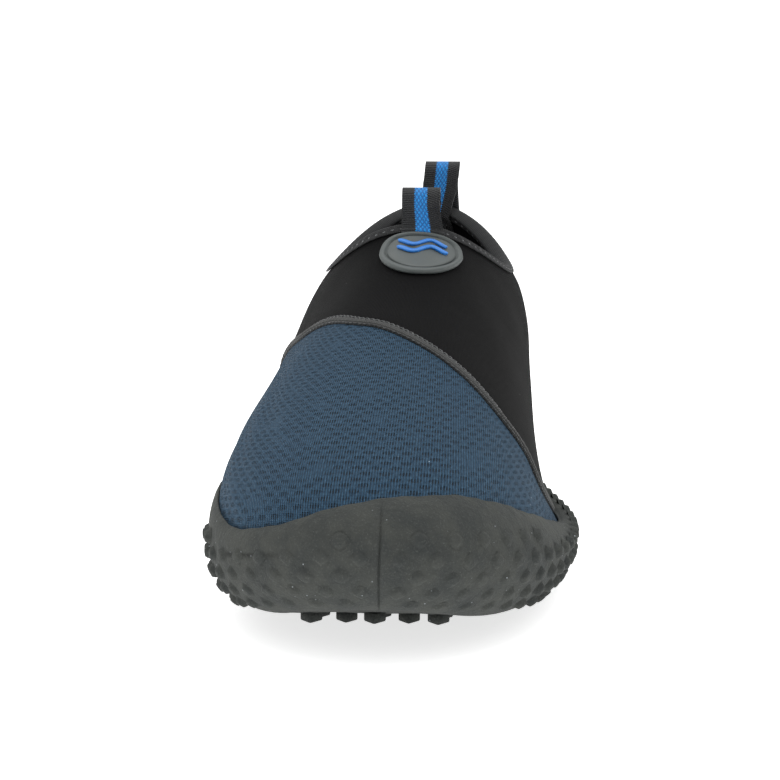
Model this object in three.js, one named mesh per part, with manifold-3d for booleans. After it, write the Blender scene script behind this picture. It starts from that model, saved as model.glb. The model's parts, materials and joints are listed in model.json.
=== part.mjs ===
// Low slip-on neoprene water shoe, right foot, standing on its tread.
// Millimetres, toe towards -Y, heel towards +Y, +X the inner side of the foot, +Z up.
import * as THREE from 'three';
import { mergeVertices } from 'three/addons/utils/BufferGeometryUtils.js';
import Module from 'manifold-3d';

const wasm = await Module();
wasm.setup();

// ---- Driving dimensions -------------------------------------------------

// The last (foot form) in plan, measured at the feather line where upper meets sole.
const lastLength = 270;
const lastWidth = 96.3;
const toeFullness = 0.16;
const toeSquareness = 0.049;
const innerSway = 3.5;
const ballSway = -2.27;
const heelSwing = 1;
const archDepth = 8;
const archAngle = 112;
const archSpread = 21.6;
const heelRoundness = 0.6;

// The feather line's height, and how far the toe is turned up.
const featherHeight = 14;
const toeLift = 19.1;

// The collar: an oval opening, saddle shaped, high at the front and the heel.
const collarLength = 92.5;
const collarWidth = 61.4;
const collarHeight = 93.7;
const collarSetIn = 1;
const collarShift = 2.75;
const collarSaddle = 9.1;
const collarForwardTilt = 0.85;
const collarInnerTilt = 0.1;

// Sole unit and tread.
const soleThickness = 5.5;
const treadDepth = 2;
const toeRise = 18;
const heelRise = 2;
const ballSetBack = 75;
const heelBevel = 27;
const soleFlare = 4;
const soleLip = 2.2;
const soleRoundness = 0.9;
const lugLength = 9;
const lugWidth = 7;
const lugPitchAcross = 18;
const lugPitchAlong = 13;
const lugEdgeMargin = 5;

// Fabrics and layers.
const upperThickness = 3;
const meshThickness = 1.2;
const wallInset = 6;
const boardThickness = 1.2;
const foamThickness = 4;
const coverThickness = 0.8;
const foamTrim = 0.6;
const coverMargin = 1.4;
const clearance = 0.35;
const seamGap = 0.35;

// Trim.
const pipingWidth = 2.6;
const pipingHeight = 1;
const pipingEdge = 0.4;
const threadWidth = 0.8;
const threadHeight = 0.4;
const bindingDepth = 2.6;
const bindingThickness = 0.6;
const bindingCorner = 0.5;
const heelTapeThickness = 0.55;

// Badge on the instep.
const badgeWidth = 28;
const badgeHeight = 27;
const badgeThickness = 1.5;
const badgeSeat = 0.6;
const waveWidth = 1.5;
const waveHeight = 0.5;
const waveRise = 1.6;
const waveLength = 16;
const waveSpacing = 4.6;
const waveLift = 3.2;

// Webbing pull loops.
const webbingWidth = 12.5;
const webbingThickness = 1.15;
const loopGap = 6.4;
const frontLoopHeight = 10.4;
const rearLoopHeight = 14.2;
const loopBead = 1.3;
const frontLoopLean = 8;
const rearLoopLean = -4;
const tackLength = 10.4;

// Places around the shoe, in degrees: 0 is the toe, 90 the inner side, 180 the heel.
const badgeAngle = 5.5;
const heelSeamAngle = 172.5;
const seamInnerEnd = 96;
const seamOuterEnd = -126;

// ---- Columns, and curves that run around the shoe -----------------------

const rad = THREE.MathUtils.degToRad;
const columnStep = 7.5;
const endColumns = [92, 94, 96, -122, -124, -126];
const columns = [];
for (let degrees = -180; degrees < 180; degrees += columnStep) {
  columns.push(degrees);
}
columns.push(...endColumns);
columns.sort((a, b) => a - b);

// A smooth curve of height against angle through a few chosen points.
function curveThrough(points) {
  const spline = new THREE.SplineCurve(points.map(([angle, height]) => new THREE.Vector2(angle, height)));
  const samples = spline.getPoints(points.length * 24);
  return (angle) => {
    const i = samples.findIndex((p) => p.x >= angle);
    if (i <= 0) return i === 0 ? samples[0].y : samples[samples.length - 1].y;
    const before = samples[i - 1];
    const after = samples[i];
    return before.y + (after.y - before.y) * (angle - before.x) / (after.x - before.x);
  };
}

// The vamp seam between the mesh toe and the neoprene: 0 is the feather line, 1 the collar,
// and below 0 it runs down under the sole's wall.
const seamHeight = curveThrough([
  [-132, -0.9], [-127, -0.5], [-122, 0], [-112, 0.19], [-100, 0.36], [-84, 0.58], [-69, 0.665], [-53, 0.682],
  [-39, 0.69], [-27, 0.683], [-16, 0.66], [-5, 0.633], [8, 0.575], [22, 0.495], [38, 0.385],
  [52, 0.297], [62, 0.205], [71, 0.135], [82, 0.06], [90, 0.01], [96, -0.5], [102, -0.9],
]);

// The top edge of the rubber wall.
const rubberHeight = curveThrough([
  [-204, 0.2], [-180, 0.22], [-156, 0.2], [-130, 0.13], [-100, 0.11], [-76, 0.16], [-61, 0.2],
  [-52, 0.17], [-45, 0.127], [-38, 0.092], [-30, 0.073], [-20, 0.086], [-13, 0.106],
  [-6, 0.134], [5, 0.156], [17, 0.165], [29, 0.155], [42, 0.13], [55, 0.1], [65, 0.07], [75, 0.038],
  [84, 0.02], [98, 0.02], [116, 0.05], [138, 0.13], [156, 0.2], [180, 0.22], [204, 0.2],
]);

// ---- The last's surface -------------------------------------------------

// Plan outline of the feather line.
function featherPlan(a) {
  const c = Math.cos(a);
  const back = Math.max(0, -c);
  const sway = innerSway * (1 - Math.cos(2 * a)) + ballSway * (c - Math.cos(3 * a));
  const fullness = Math.sin(a) + toeFullness * Math.sin(2 * a) + toeSquareness * Math.sin(3 * a);
  const along = c < 0 ? back + heelRoundness * back * back * (1 - back) : -c;
  const fromArch = Math.atan2(Math.sin(a - rad(archAngle)), Math.cos(a - rad(archAngle)));
  const arch = archDepth * Math.exp(-((fromArch / rad(archSpread)) ** 2));
  return new THREE.Vector2(
    lastWidth / 2 * fullness + sway - arch + heelSwing * ((1 - c) / 2) ** 4,
    lastLength / 2 * along,
  );
}

// Plan outline of the collar.
function collarPlan(a) {
  const c = Math.cos(a);
  const middle = lastLength / 2 - collarSetIn - collarLength / 2;
  return new THREE.Vector2(
    collarShift + collarWidth / 2 * Math.sin(a) + heelSwing * ((1 - c) / 2) ** 4,
    middle - collarLength / 2 * c,
  );
}

// The direction that faces out from a plan outline.
function outward(plan, a) {
  const step = 0.001;
  const along = plan(a + step).sub(plan(a - step));
  return new THREE.Vector3(along.y, -along.x, 0).normalize();
}

// How far the sole's underside rises off the ground at the toe and the heel.
function rise(y) {
  const toe = Math.max(0, ballSetBack - lastLength / 2 - y) / ballSetBack;
  const heel = Math.max(0, y - lastLength / 2 + heelBevel) / heelBevel;
  return toeRise * toe * toe + heelRise * heel * heel;
}

const boardHeight = (y) => treadDepth + soleThickness + rise(y);
const featherZ = (y) => featherHeight + toeLift * (0.5 - y / lastLength) ** 4;

function blend(from, to, share) {
  return from + (to - from) * share;
}

// The upper's outer face between the feather line (0) and the collar (1).
function upperFace(a, t) {
  const s = Math.sin(a);
  const c = Math.cos(a);
  const front = (1 + c) / 2;
  const foot = featherPlan(a);
  const bottom = new THREE.Vector3(foot.x, foot.y, featherZ(foot.y));
  const rim = collarPlan(a);
  const rimHeight = collarHeight + collarForwardTilt * c + collarSaddle * Math.cos(2 * a) + collarInnerTilt * s;
  const top = new THREE.Vector3(rim.x, rim.y, rimHeight);
  const footOut = outward(featherPlan, a);
  const rimOut = outward(collarPlan, a);
  const toeShare = front ** 2.51;
  const instepShare = front ** 2.87;
  const heelShare = (1 - front) ** 4;
  const wallReach = blend(25.2, 29.5, toeShare) + 3.1 * s * s;
  const wallLean = blend(-0.345, 0.29, toeShare) - 0.39 * s + 0.45 * heelShare;
  const instepReach = blend(36, 27.5, instepShare) - 7.15 * s - 10 * heelShare;
  const instepSlope = rad(blend(42.3, 64.4, instepShare) + 7.2 * s + 26 * heelShare);
  const low = bottom.clone().addScaledVector(footOut, wallReach * wallLean);
  low.z += wallReach;
  const high = top.clone().addScaledVector(rimOut, instepReach * Math.cos(instepSlope));
  high.z -= instepReach * Math.sin(instepSlope);
  const r = 1 - t;
  const point = bottom.multiplyScalar(r * r * r);
  point.addScaledVector(low, 3 * r * r * t);
  point.addScaledVector(high, 3 * r * t * t);
  point.addScaledVector(top, t * t * t);
  // The outer side is slightly hollow below the instep.
  const outerSide = Math.max(0, -s) ** 2 * front;
  const hollow = outerSide * (-11.2 * Math.sin(Math.PI * t) + 4 * Math.sin(2 * Math.PI * t));
  return point.addScaledVector(footOut, hollow);
}

function upperNormal(a, t) {
  const step = 0.002;
  const around = upperFace(a + step, t).sub(upperFace(a - step, t));
  const up = upperFace(a, t + step).sub(upperFace(a, t - step));
  return around.cross(up).normalize();
}

// A point at a height on the last, offset outwards. Below the feather line the wall
// turns in under the foot to the lasting board.
function skin(degrees, height, offset) {
  const a = rad(degrees);
  if (height > 0) {
    return upperFace(a, height).addScaledVector(upperNormal(a, height), offset);
  }
  const foot = featherPlan(a);
  const out = outward(featherPlan, a);
  const turn = -height * Math.PI / 2;
  const inward = offset * Math.cos(turn) - wallInset * (1 - Math.cos(turn));
  const floor = boardHeight(foot.y - out.y * wallInset);
  const top = featherZ(foot.y);
  return new THREE.Vector3(
    foot.x + out.x * inward,
    foot.y + out.y * inward,
    top - (top - floor + offset) * Math.sin(turn),
  );
}

// The outline at a distance inside the feather line.
function insetOutline(degrees, inset) {
  const a = rad(degrees);
  const foot = featherPlan(a);
  const out = outward(featherPlan, a);
  return new THREE.Vector2(foot.x - out.x * inset, foot.y - out.y * inset);
}

// The middle of the foot, and a ring between it and the edge, where flat layers turn their quads.
const middle = new THREE.Vector2(0, 0);
const ringShare = 0.6;
const ringInside = (degrees) => insetOutline(degrees, 2 * wallInset).multiplyScalar(ringShare);

// ---- Solids from sections -----------------------------------------------

// Joins sections, each a loop or a path of points, into one closed solid.
// A ring of paths closes at its first and last points, which all sections share.
// The first half of a section is its outer side, and the second half comes back along
// its inner side: both sides split their quads on the same diagonal, so layers nest.
function joinSections(sections, { ring = false, loops = true } = {}) {
  const positions = [];
  const triangle = (p, q, r) => positions.push(...p.toArray(), ...q.toArray(), ...r.toArray());
  const quad = (p, q, r, s) => {
    triangle(p, q, r);
    triangle(p, r, s);
  };
  const count = sections[0].length;
  const last = ring ? sections.length : sections.length - 1;
  for (let i = 0; i < last; i += 1) {
    const here = sections[i];
    const next = sections[(i + 1) % sections.length];
    for (let j = 0; j < (loops ? count : count - 1); j += 1) {
      const k = (j + 1) % count;
      if (j < count / 2) quad(here[j], next[j], next[k], here[k]);
      else quad(next[j], next[k], here[k], here[j]);
    }
  }
  if (!ring) {
    const first = sections[0];
    const end = sections[sections.length - 1];
    for (let j = 0; j < count / 2 - 1; j += 1) {
      const across = count - 1 - j;
      quad(first[j], first[j + 1], first[across - 1], first[across]);
      quad(end[across], end[across - 1], end[j + 1], end[j]);
    }
  }
  return closeUp(positions);
}

// Merges shared corners and drops the triangles that merging made flat.
function closeUp(positions) {
  const loose = new THREE.BufferGeometry();
  loose.setAttribute('position', new THREE.Float32BufferAttribute(positions, 3));
  const merged = mergeVertices(loose, 1e-4);
  const corners = merged.index.array;
  const kept = [];
  for (let i = 0; i < corners.length; i += 3) {
    const [p, q, r] = [corners[i], corners[i + 1], corners[i + 2]];
    if (p !== q && q !== r && r !== p) kept.push(p, q, r);
  }
  merged.setIndex(kept);
  return merged;
}

// A sheet of one thickness that follows the last. heights(degrees) lists its rows.
function layer(angles, heights, outer, inner, ring) {
  const sections = angles.map((degrees) => {
    const rows = heights(degrees);
    const outside = rows.map((height) => skin(degrees, height, outer));
    const inside = rows.map((height) => skin(degrees, height, inner));
    return [...outside, ...inside.reverse()];
  });
  return joinSections(sections, { ring });
}

// A flat slab under the foot, which follows the toe's rise.
function slab(inset, underside, thickness) {
  const at = (p, lift) => new THREE.Vector3(p.x, p.y, boardHeight(p.y) + lift);
  const sections = columns.map((degrees) => {
    const edge = insetOutline(degrees, inset);
    const inner = ringInside(degrees);
    const path = [middle, inner, edge].map((p) => at(p, underside));
    const back = [edge, inner, middle].map((p) => at(p, underside + thickness));
    return [...path, ...back];
  });
  return joinSections(sections, { ring: true, loops: false });
}

// A strip laid on the last along a path of [degrees, height]. Its profile lists
// [across, offset] points: the outer ones from low to high, then the inner ones back.
function strip(path, profile, ring = false) {
  const sections = path.map(([degrees, height], i) => {
    const here = skin(degrees, height, 0);
    const before = path[i - 1] ?? (ring ? path[path.length - 1] : path[i]);
    const after = path[i + 1] ?? (ring ? path[0] : path[i]);
    const along = skin(after[0], after[1], 0).sub(skin(before[0], before[1], 0)).normalize();
    const out = upperNormal(rad(degrees), height);
    const across = out.clone().cross(along).normalize();
    return profile.map(([side, offset]) => {
      return here.clone().addScaledVector(across, side).addScaledVector(out, offset);
    });
  });
  return joinSections(sections, { ring });
}

// A thread's profile: width across, lying from offset up to offset + height.
function threadProfile(side, offset) {
  const half = threadWidth / 2;
  return [
    [side - half / 2, offset + threadHeight], [side + half / 2, offset + threadHeight],
    [side + half, offset], [side - half, offset],
  ];
}

// ---- Upper --------------------------------------------------------------

// Rows from a lower edge to an upper one. Where they cross the feather line and the rubber's
// top edge they have rows on both, so that the rubber wall nests round them.
const wallRows = 3;
const aboveLip = 1.2;

function rowsUp(low, crossing, high, lip, shares) {
  const rows = [];
  for (let i = 0; i < wallRows; i += 1) {
    rows.push(blend(low, crossing, i / wallRows));
  }
  if (crossing === 0 && high > aboveLip * lip) {
    rows.push(0, lip / 2, lip);
    rows.push(...shares.map((share) => blend(lip, high, share)));
  } else {
    const count = shares.length + 2;
    rows.push(crossing, blend(crossing, high, 0.5 / count), blend(crossing, high, 1 / count));
    rows.push(...shares.map((share) => blend(blend(crossing, high, 1 / count), high, share)));
  }
  return rows;
}

// Half the seam's gap as a share of height: the wall is short below the feather line.
const wallAbove = 120;
const wallBelow = 8;
const seamStep = (height) => seamGap / (height > 0 ? wallAbove : wallBelow);
// The least room, in height, that the crossing row keeps below and above the seam.
const belowSeam = 0.12;
const aboveSeam = 0.05;
const toeColumns = columns.filter((degrees) => degrees >= seamOuterEnd && degrees <= seamInnerEnd);

function toeRows(degrees) {
  const seam = seamHeight(degrees);
  const top = seam - seamStep(seam);
  return rowsUp(-1, Math.min(0, top - belowSeam), top, rubberHeight(degrees), [0.5, 1]);
}

function upperRows(degrees) {
  const inSeam = degrees >= seamOuterEnd && degrees <= seamInnerEnd;
  const seam = seamHeight(degrees);
  const bottom = inSeam ? seam + seamStep(seam) : -1;
  const crossing = Math.max(0, bottom + aboveSeam);
  return rowsUp(bottom, crossing, 1, rubberHeight(degrees), [0.3, 0.6, 0.85, 0.96, 1]);
}

const toePanel = layer(toeColumns, toeRows, 0, -meshThickness, false);
const toeLining = layer(toeColumns, toeRows, -meshThickness - clearance, -upperThickness, false);
const neopreneUpper = layer(columns, upperRows, 0, -upperThickness, true);

// ---- Seams and piping ---------------------------------------------------

// The part of the vamp seam that stands clear above the rubber wall.
const seamAboveRubber = 0.045;
const seamPath = columns
  .filter((degrees) => degrees > seamOuterEnd && degrees < seamInnerEnd)
  .filter((degrees) => seamHeight(degrees) > rubberHeight(degrees) + seamAboveRubber)
  .map((degrees) => [degrees, seamHeight(degrees)]);

const halfPiping = pipingWidth / 2;
const vampPiping = strip(seamPath, [
  [-halfPiping, clearance + pipingEdge], [0, clearance + pipingHeight], [halfPiping, clearance + pipingEdge],
  [halfPiping, clearance], [0, clearance], [-halfPiping, clearance],
]);
const rowSpacing = halfPiping + clearance + threadWidth / 2;
const vampStitchingUpper = strip(seamPath, threadProfile(rowSpacing, clearance));
const vampStitchingLower = strip(seamPath, threadProfile(-rowSpacing, clearance));

// ---- Collar -------------------------------------------------------------

// Sections square to the collar's edge. The profile lists [above the edge, offset] points.
function collarSections(angles, profile, ring) {
  const sections = angles.map((degrees) => {
    const a = rad(degrees);
    const edge = upperFace(a, 1);
    const up = edge.clone().sub(upperFace(a, 0.99)).normalize();
    const out = upperNormal(a, 0.999);
    return profile.map(([above, offset]) => {
      return edge.clone().addScaledVector(up, above).addScaledVector(out, offset);
    });
  });
  return joinSections(sections, { ring });
}

const bindingOuter = clearance + bindingThickness;
const bindingInner = -upperThickness - bindingOuter;
const bindingTop = clearance + bindingThickness;
const collarBinding = collarSections(columns, [
  [-bindingDepth, bindingOuter], [0, bindingOuter], [bindingTop, bindingOuter - bindingCorner],
  [bindingTop, bindingInner + bindingCorner], [0, bindingInner], [-bindingDepth, bindingInner],
  [-bindingDepth, -upperThickness - clearance], [clearance, -upperThickness - clearance],
  [clearance, clearance], [-bindingDepth, clearance],
], true);

// A thread row on the binding's outer face, or on its inner face when side is -1.
function bindingThread(angles, side, ring) {
  const near = side > 0 ? bindingOuter + clearance : bindingInner - clearance - threadHeight;
  const far = near + threadHeight;
  const low = -bindingDepth / 2 - threadWidth / 2;
  const high = -bindingDepth / 2 + threadWidth / 2;
  return collarSections(angles, [[low, far], [high, far], [high, near], [low, near]], ring);
}

const collarStitching = bindingThread(columns, 1, true);

// ---- Heel seam ----------------------------------------------------------

const heelColumns = [heelSeamAngle - columnStep, heelSeamAngle, heelSeamAngle + columnStep];
const heelReach = upperFace(Math.PI, 0.9).distanceTo(upperFace(Math.PI, 0.8)) / 0.1;
const heelTapeTop = 1 - (bindingDepth + 2 * clearance) / heelReach;

function heelRows() {
  const rows = upperRows(heelSeamAngle).filter((height) => height > 0 && height < heelTapeTop);
  return [...rows, heelTapeTop];
}

const tapeOuter = -upperThickness - clearance;
const heelSeamTape = layer(heelColumns, heelRows, tapeOuter, tapeOuter - heelTapeThickness, false);
const heelThreadOuter = tapeOuter - heelTapeThickness - clearance;
const heelThreadColumns = [heelSeamAngle - 0.6, heelSeamAngle + 0.6];
const heelSeamStitching = layer(
  heelThreadColumns, heelRows, heelThreadOuter, heelThreadOuter - threadHeight, false,
);

// ---- Sole unit, board and footbed ---------------------------------------

// The wall and tread of the sole from outside, below the feather line.
function soleOutside(degrees, turnShare) {
  const a = rad(degrees);
  const foot = featherPlan(a);
  const out = outward(featherPlan, a);
  const top = featherZ(foot.y);
  const depth = top - treadDepth - rise(foot.y);
  const reach = soleRoundness * depth + soleFlare;
  const edge = insetOutline(degrees, reach - soleFlare);
  const tread = treadDepth + rise(edge.y);
  const turn = turnShare * Math.PI / 2;
  const along = soleFlare - reach * (1 - Math.cos(turn));
  return new THREE.Vector3(
    foot.x + out.x * along,
    foot.y + out.y * along,
    top - (top - tread) * Math.sin(turn),
  );
}

function soleSection(degrees) {
  const lip = rubberHeight(degrees);
  const treadAt = (p) => new THREE.Vector3(p.x, p.y, treadDepth + rise(p.y));
  const insoleAt = (p) => new THREE.Vector3(p.x, p.y, boardHeight(p.y) - clearance);
  const edge = soleOutside(degrees, 1);
  return [
    treadAt(middle),
    treadAt(new THREE.Vector2(edge.x, edge.y).multiplyScalar(ringShare)),
    edge,
    soleOutside(degrees, 0.62),
    soleOutside(degrees, 0.3),
    soleOutside(degrees, 0),
    skin(degrees, lip / 2, blend(soleFlare, soleLip, 0.5)),
    skin(degrees, lip, soleLip),
    skin(degrees, lip, clearance),
    skin(degrees, lip / 2, clearance),
    ...[0, -0.2, -0.4, -0.6, -0.8, -1].map((height) => skin(degrees, height, clearance)),
    insoleAt(ringInside(degrees)),
    insoleAt(middle),
  ];
}

function solid(geometry) {
  const mesh = new wasm.Mesh({
    numProp: 3,
    vertProperties: new Float32Array(geometry.attributes.position.array),
    triVerts: new Uint32Array(geometry.index.array),
  });
  mesh.merge();
  return new wasm.Manifold(mesh);
}

function geometryOf(manifold) {
  const mesh = manifold.getMesh();
  const geometry = new THREE.BufferGeometry();
  geometry.setAttribute('position', new THREE.BufferAttribute(mesh.vertProperties, 3));
  geometry.setIndex(new THREE.BufferAttribute(mesh.triVerts, 1));
  return geometry;
}

// One diamond lug that stands on the ground and runs up into the tread.
function lug(x, y) {
  const diamond = new THREE.Shape([
    new THREE.Vector2(lugWidth / 2, 0), new THREE.Vector2(0, lugLength / 2),
    new THREE.Vector2(-lugWidth / 2, 0), new THREE.Vector2(0, -lugLength / 2),
  ]);
  const height = treadDepth + soleThickness / 2;
  const shape = new THREE.ExtrudeGeometry(diamond, { depth: height, bevelEnabled: false });
  shape.translate(x, y, rise(y));
  const loose = new THREE.BufferGeometry();
  loose.setAttribute('position', shape.attributes.position);
  return solid(mergeVertices(loose, 1e-4));
}

// Whether a lug's centre lies on the tread with a margin to its edge.
function onTread(x, y, outline) {
  let inside = false;
  let nearest = Infinity;
  for (let i = 0; i < outline.length; i += 1) {
    const p = outline[i];
    const q = outline[(i + 1) % outline.length];
    if ((p.y > y) !== (q.y > y) && x < (q.x - p.x) * (y - p.y) / (q.y - p.y) + p.x) inside = !inside;
    nearest = Math.min(nearest, Math.hypot(p.x - x, p.y - y));
  }
  return inside && nearest > lugEdgeMargin;
}

function treadLugs() {
  const outline = columns.map((degrees) => soleOutside(degrees, 1));
  const rowsEachWay = Math.floor(lastLength / 2 / lugPitchAlong);
  const acrossEachWay = Math.floor(lastWidth / 2 / lugPitchAcross);
  const lugs = [];
  for (let row = -rowsEachWay; row <= rowsEachWay; row += 1) {
    const stagger = row % 2 === 0 ? 0 : lugPitchAcross / 2;
    for (let across = -acrossEachWay; across <= acrossEachWay; across += 1) {
      const x = across * lugPitchAcross + stagger;
      const y = row * lugPitchAlong;
      if (onTread(x, y, outline)) lugs.push(lug(x, y));
    }
  }
  return lugs;
}

const soleBody = joinSections(columns.map(soleSection), { ring: true, loops: false });
const outsole = geometryOf(treadLugs().reduce((sum, piece) => sum.add(piece), solid(soleBody)));

const boardTop = boardThickness;
const foamBottom = boardTop + clearance;
const coverBottom = foamBottom + foamThickness + clearance;
const lastingBoard = slab(wallInset + clearance, 0, boardThickness);
const insoleFoam = slab(wallInset + foamTrim, foamBottom, foamThickness);
const insoleCover = slab(upperThickness + coverMargin, coverBottom, coverThickness);

// The thread that sews the upper's edge to the lasting board, seen from inside. Its rows are
// heights on the wall that turns in under the foot.
const strobelLow = -0.96;
const strobelHigh = -0.82;
const strobelStitching = joinSections(columns.map((degrees) => {
  const near = -upperThickness - 2 * clearance;
  const far = near - 1.5 * threadHeight;
  return [
    skin(degrees, strobelLow, near), skin(degrees, strobelHigh, near),
    skin(degrees, strobelHigh, far), skin(degrees, strobelLow, far),
  ];
}), { ring: true });

// ---- Badge --------------------------------------------------------------

// A place on the instep, in millimetres across and up from the badge's centre.
const badgeCentreDown = 2.5 * bindingDepth + badgeHeight / 2;
const upReach = upperFace(rad(badgeAngle), 0.9).distanceTo(upperFace(rad(badgeAngle), 0.8)) / 0.1;
const badgeCentre = 1 - badgeCentreDown / upReach;
const aroundReach = upperFace(rad(badgeAngle + 1), badgeCentre)
  .distanceTo(upperFace(rad(badgeAngle - 1), badgeCentre)) / 2;

function badgePlace(across, up) {
  return [badgeAngle + across / aroundReach, badgeCentre + up / upReach];
}

// A shield: a rounded triangle, wide at the top.
function shieldPoint(angle) {
  const wide = badgeWidth / 2;
  const tall = badgeHeight / 2;
  const x = Math.sign(Math.cos(angle)) * Math.abs(Math.cos(angle)) ** 0.85;
  const y = Math.sin(angle);
  return [wide * x * (1 + 0.2 * y) * 0.98, tall * (y > 0 ? y ** 0.9 : y)];
}

const shieldColumns = 24;
const badgeSections = [];
for (let i = 0; i < shieldColumns; i += 1) {
  const [x, y] = shieldPoint(2 * Math.PI * i / shieldColumns);
  const at = (scale, offset) => skin(...badgePlace(x * scale, y * scale), offset);
  const low = badgeSeat;
  const high = low + badgeThickness;
  badgeSections.push([at(0, low), at(0.5, low), at(1, low), at(1, high), at(0.5, high), at(0, high)]);
}
const badge = joinSections(badgeSections, { ring: true, loops: false });

// A raised wave on the badge.
function wave(up) {
  const steps = 12;
  const path = [];
  for (let i = 0; i <= steps; i += 1) {
    const along = i / steps - 0.5;
    path.push(badgePlace(waveLength * along, up + waveRise * Math.sin(3 * Math.PI * along)));
  }
  const base = badgeSeat + badgeThickness + clearance;
  const half = waveWidth / 2;
  return strip(path, [
    [-half * 0.8, base + waveHeight], [half * 0.8, base + waveHeight], [half, base], [-half, base],
  ]);
}

const badgeWaveUpper = wave(waveLift + waveSpacing / 2);
const badgeWaveLower = wave(waveLift - waveSpacing / 2);

// ---- Pull loops ---------------------------------------------------------

// A loop's hinge line runs across the shoe over the middle of the collar's edge, just high
// enough for the bead to clear the binding all along the webbing's width.
function loopHinge(degrees) {
  const halfWay = 7;
  const across = upperFace(rad(degrees + 1), 1).distanceTo(upperFace(rad(degrees - 1), 1)) / 2;
  const crest = [];
  for (let i = -halfWay; i <= halfWay; i += 1) {
    const a = rad(degrees + i / halfWay * webbingWidth / 2 / across);
    const edge = upperFace(a, 1);
    const up = edge.clone().sub(upperFace(a, 0.99)).normalize();
    const out = upperNormal(a, 0.999);
    for (const share of [0, 0.25, 0.5, 0.75, 1]) {
      const offset = blend(bindingOuter, bindingInner, share);
      crest.push(edge.clone().addScaledVector(up, bindingTop).addScaledVector(out, offset));
    }
  }
  const foot = upperFace(rad(degrees), 1).addScaledVector(upperNormal(rad(degrees), 0.999), -upperThickness / 2);
  const reach = loopBead + clearance;
  const near = crest.filter((point) => Math.abs(point.y - foot.y) < reach);
  foot.z = Math.max(...near.map((point) => point.z + Math.sqrt(reach ** 2 - (point.y - foot.y) ** 2)));
  return foot;
}

// A folded strip of webbing seen from its edge: a rounded bead on the hinge line, which is the
// geometry's own X axis, and an open eye above it.
function pullLoop(height) {
  const eyeDepth = loopGap / 2;
  const eyeRise = (height - webbingThickness) / 2 - loopBead;
  const eyeCentre = height - webbingThickness - eyeRise;
  const round = (depth, tall, angle) => new THREE.Vector2(
    depth * Math.sign(Math.cos(angle)) * Math.abs(Math.cos(angle)) ** 0.8,
    eyeCentre + tall * Math.sign(Math.sin(angle)) * Math.abs(Math.sin(angle)) ** 0.8,
  );
  const outline = [];
  for (let step = -3; step <= 15; step += 1) {
    outline.push(round(eyeDepth + webbingThickness, eyeRise + webbingThickness, step * Math.PI / 12));
  }
  for (let step = 0; step <= 4; step += 1) {
    const angle = Math.PI + step * Math.PI / 4;
    outline.push(new THREE.Vector2(loopBead * Math.cos(angle), loopBead * Math.sin(angle)));
  }
  const eye = [];
  for (let step = 0; step < 16; step += 1) {
    eye.push(round(eyeDepth, eyeRise, -step * Math.PI / 8));
  }
  const shape = new THREE.Shape(outline);
  shape.holes.push(new THREE.Path(eye));
  const geometry = new THREE.ExtrudeGeometry(shape, { depth: webbingWidth, bevelEnabled: false });
  geometry.translate(0, 0, -webbingWidth / 2);
  return geometry.applyMatrix4(new THREE.Matrix4().makeBasis(
    new THREE.Vector3(0, 1, 0), new THREE.Vector3(0, 0, 1), new THREE.Vector3(1, 0, 0),
  ));
}

// Stands a loop on its hinge line, leaning towards the heel.
function standLoop(mesh, degrees, lean) {
  mesh.position.copy(loopHinge(degrees));
  mesh.rotation.x = -rad(lean);
}

// The bar of thread that holds each loop's ends, on the binding's inner face.
function loopTack(degrees) {
  const half = tackLength / 2;
  const across = upperFace(rad(degrees + 1), 1).distanceTo(upperFace(rad(degrees - 1), 1)) / 2;
  const places = [-1, -0.5, 0, 0.5, 1].map((share) => degrees + share * half / across);
  return bindingThread(places, -1, false);
}

// ---- The object ---------------------------------------------------------

const shoe = new THREE.Group();

function add(name, geometry, color, roughness) {
  const material = new THREE.MeshStandardMaterial({ color, roughness, metalness: 0 });
  const mesh = new THREE.Mesh(geometry, material);
  mesh.name = name;
  shoe.add(mesh);
  return mesh;
}

const rubber = 0x4a4b48;
const neoprene = 0x262627;
const webbing = 0x1d1e20;
const thread = 0x55585a;

add('outsole', outsole, rubber, 0.8);
add('lasting_board', lastingBoard, 0xb9b4a6, 0.9);
add('strobel_stitching', strobelStitching, 0xd8d6cf, 0.8);
add('insole_foam', insoleFoam, 0x2d2f31, 0.9);
add('insole_cover', insoleCover, 0x1c1d1f, 0.9);
add('toe_panel', toePanel, 0x3b5670, 0.85);
add('toe_lining', toeLining, 0x2a2c2f, 0.9);
add('neoprene_upper', neopreneUpper, neoprene, 0.85);
add('vamp_piping', vampPiping, 0x3d4043, 0.7);
add('vamp_stitching_upper', vampStitchingUpper, thread, 0.75);
add('vamp_stitching_lower', vampStitchingLower, thread, 0.75);
add('collar_binding', collarBinding, 0x1b1c1d, 0.7);
add('collar_stitching', collarStitching, 0x77797b, 0.75);
add('heel_seam_tape', heelSeamTape, 0x1f2022, 0.85);
add('heel_seam_stitching', heelSeamStitching, thread, 0.75);
add('badge', badge, 0x4a4e4d, 0.65);
add('badge_wave_upper', badgeWaveUpper, 0x3a78c8, 0.55);
add('badge_wave_lower', badgeWaveLower, 0x3a78c8, 0.55);
const frontPullLoop = add('front_pull_loop', pullLoop(frontLoopHeight), webbing, 0.8);
standLoop(frontPullLoop, badgeAngle, frontLoopLean);
const rearPullLoop = add('rear_pull_loop', pullLoop(rearLoopHeight), webbing, 0.8);
standLoop(rearPullLoop, heelSeamAngle, rearLoopLean);
add('front_loop_tack', loopTack(badgeAngle), thread, 0.75);
add('rear_loop_tack', loopTack(heelSeamAngle), thread, 0.75);

// The origin is the middle of the shoe's box, on the ground.
shoe.updateMatrixWorld(true);
const box = new THREE.Box3().setFromObject(shoe);
const centre = box.getCenter(new THREE.Vector3());
shoe.position.set(-centre.x, -centre.y, -box.min.z);

export default shoe;
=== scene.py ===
import json
import math

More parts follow.
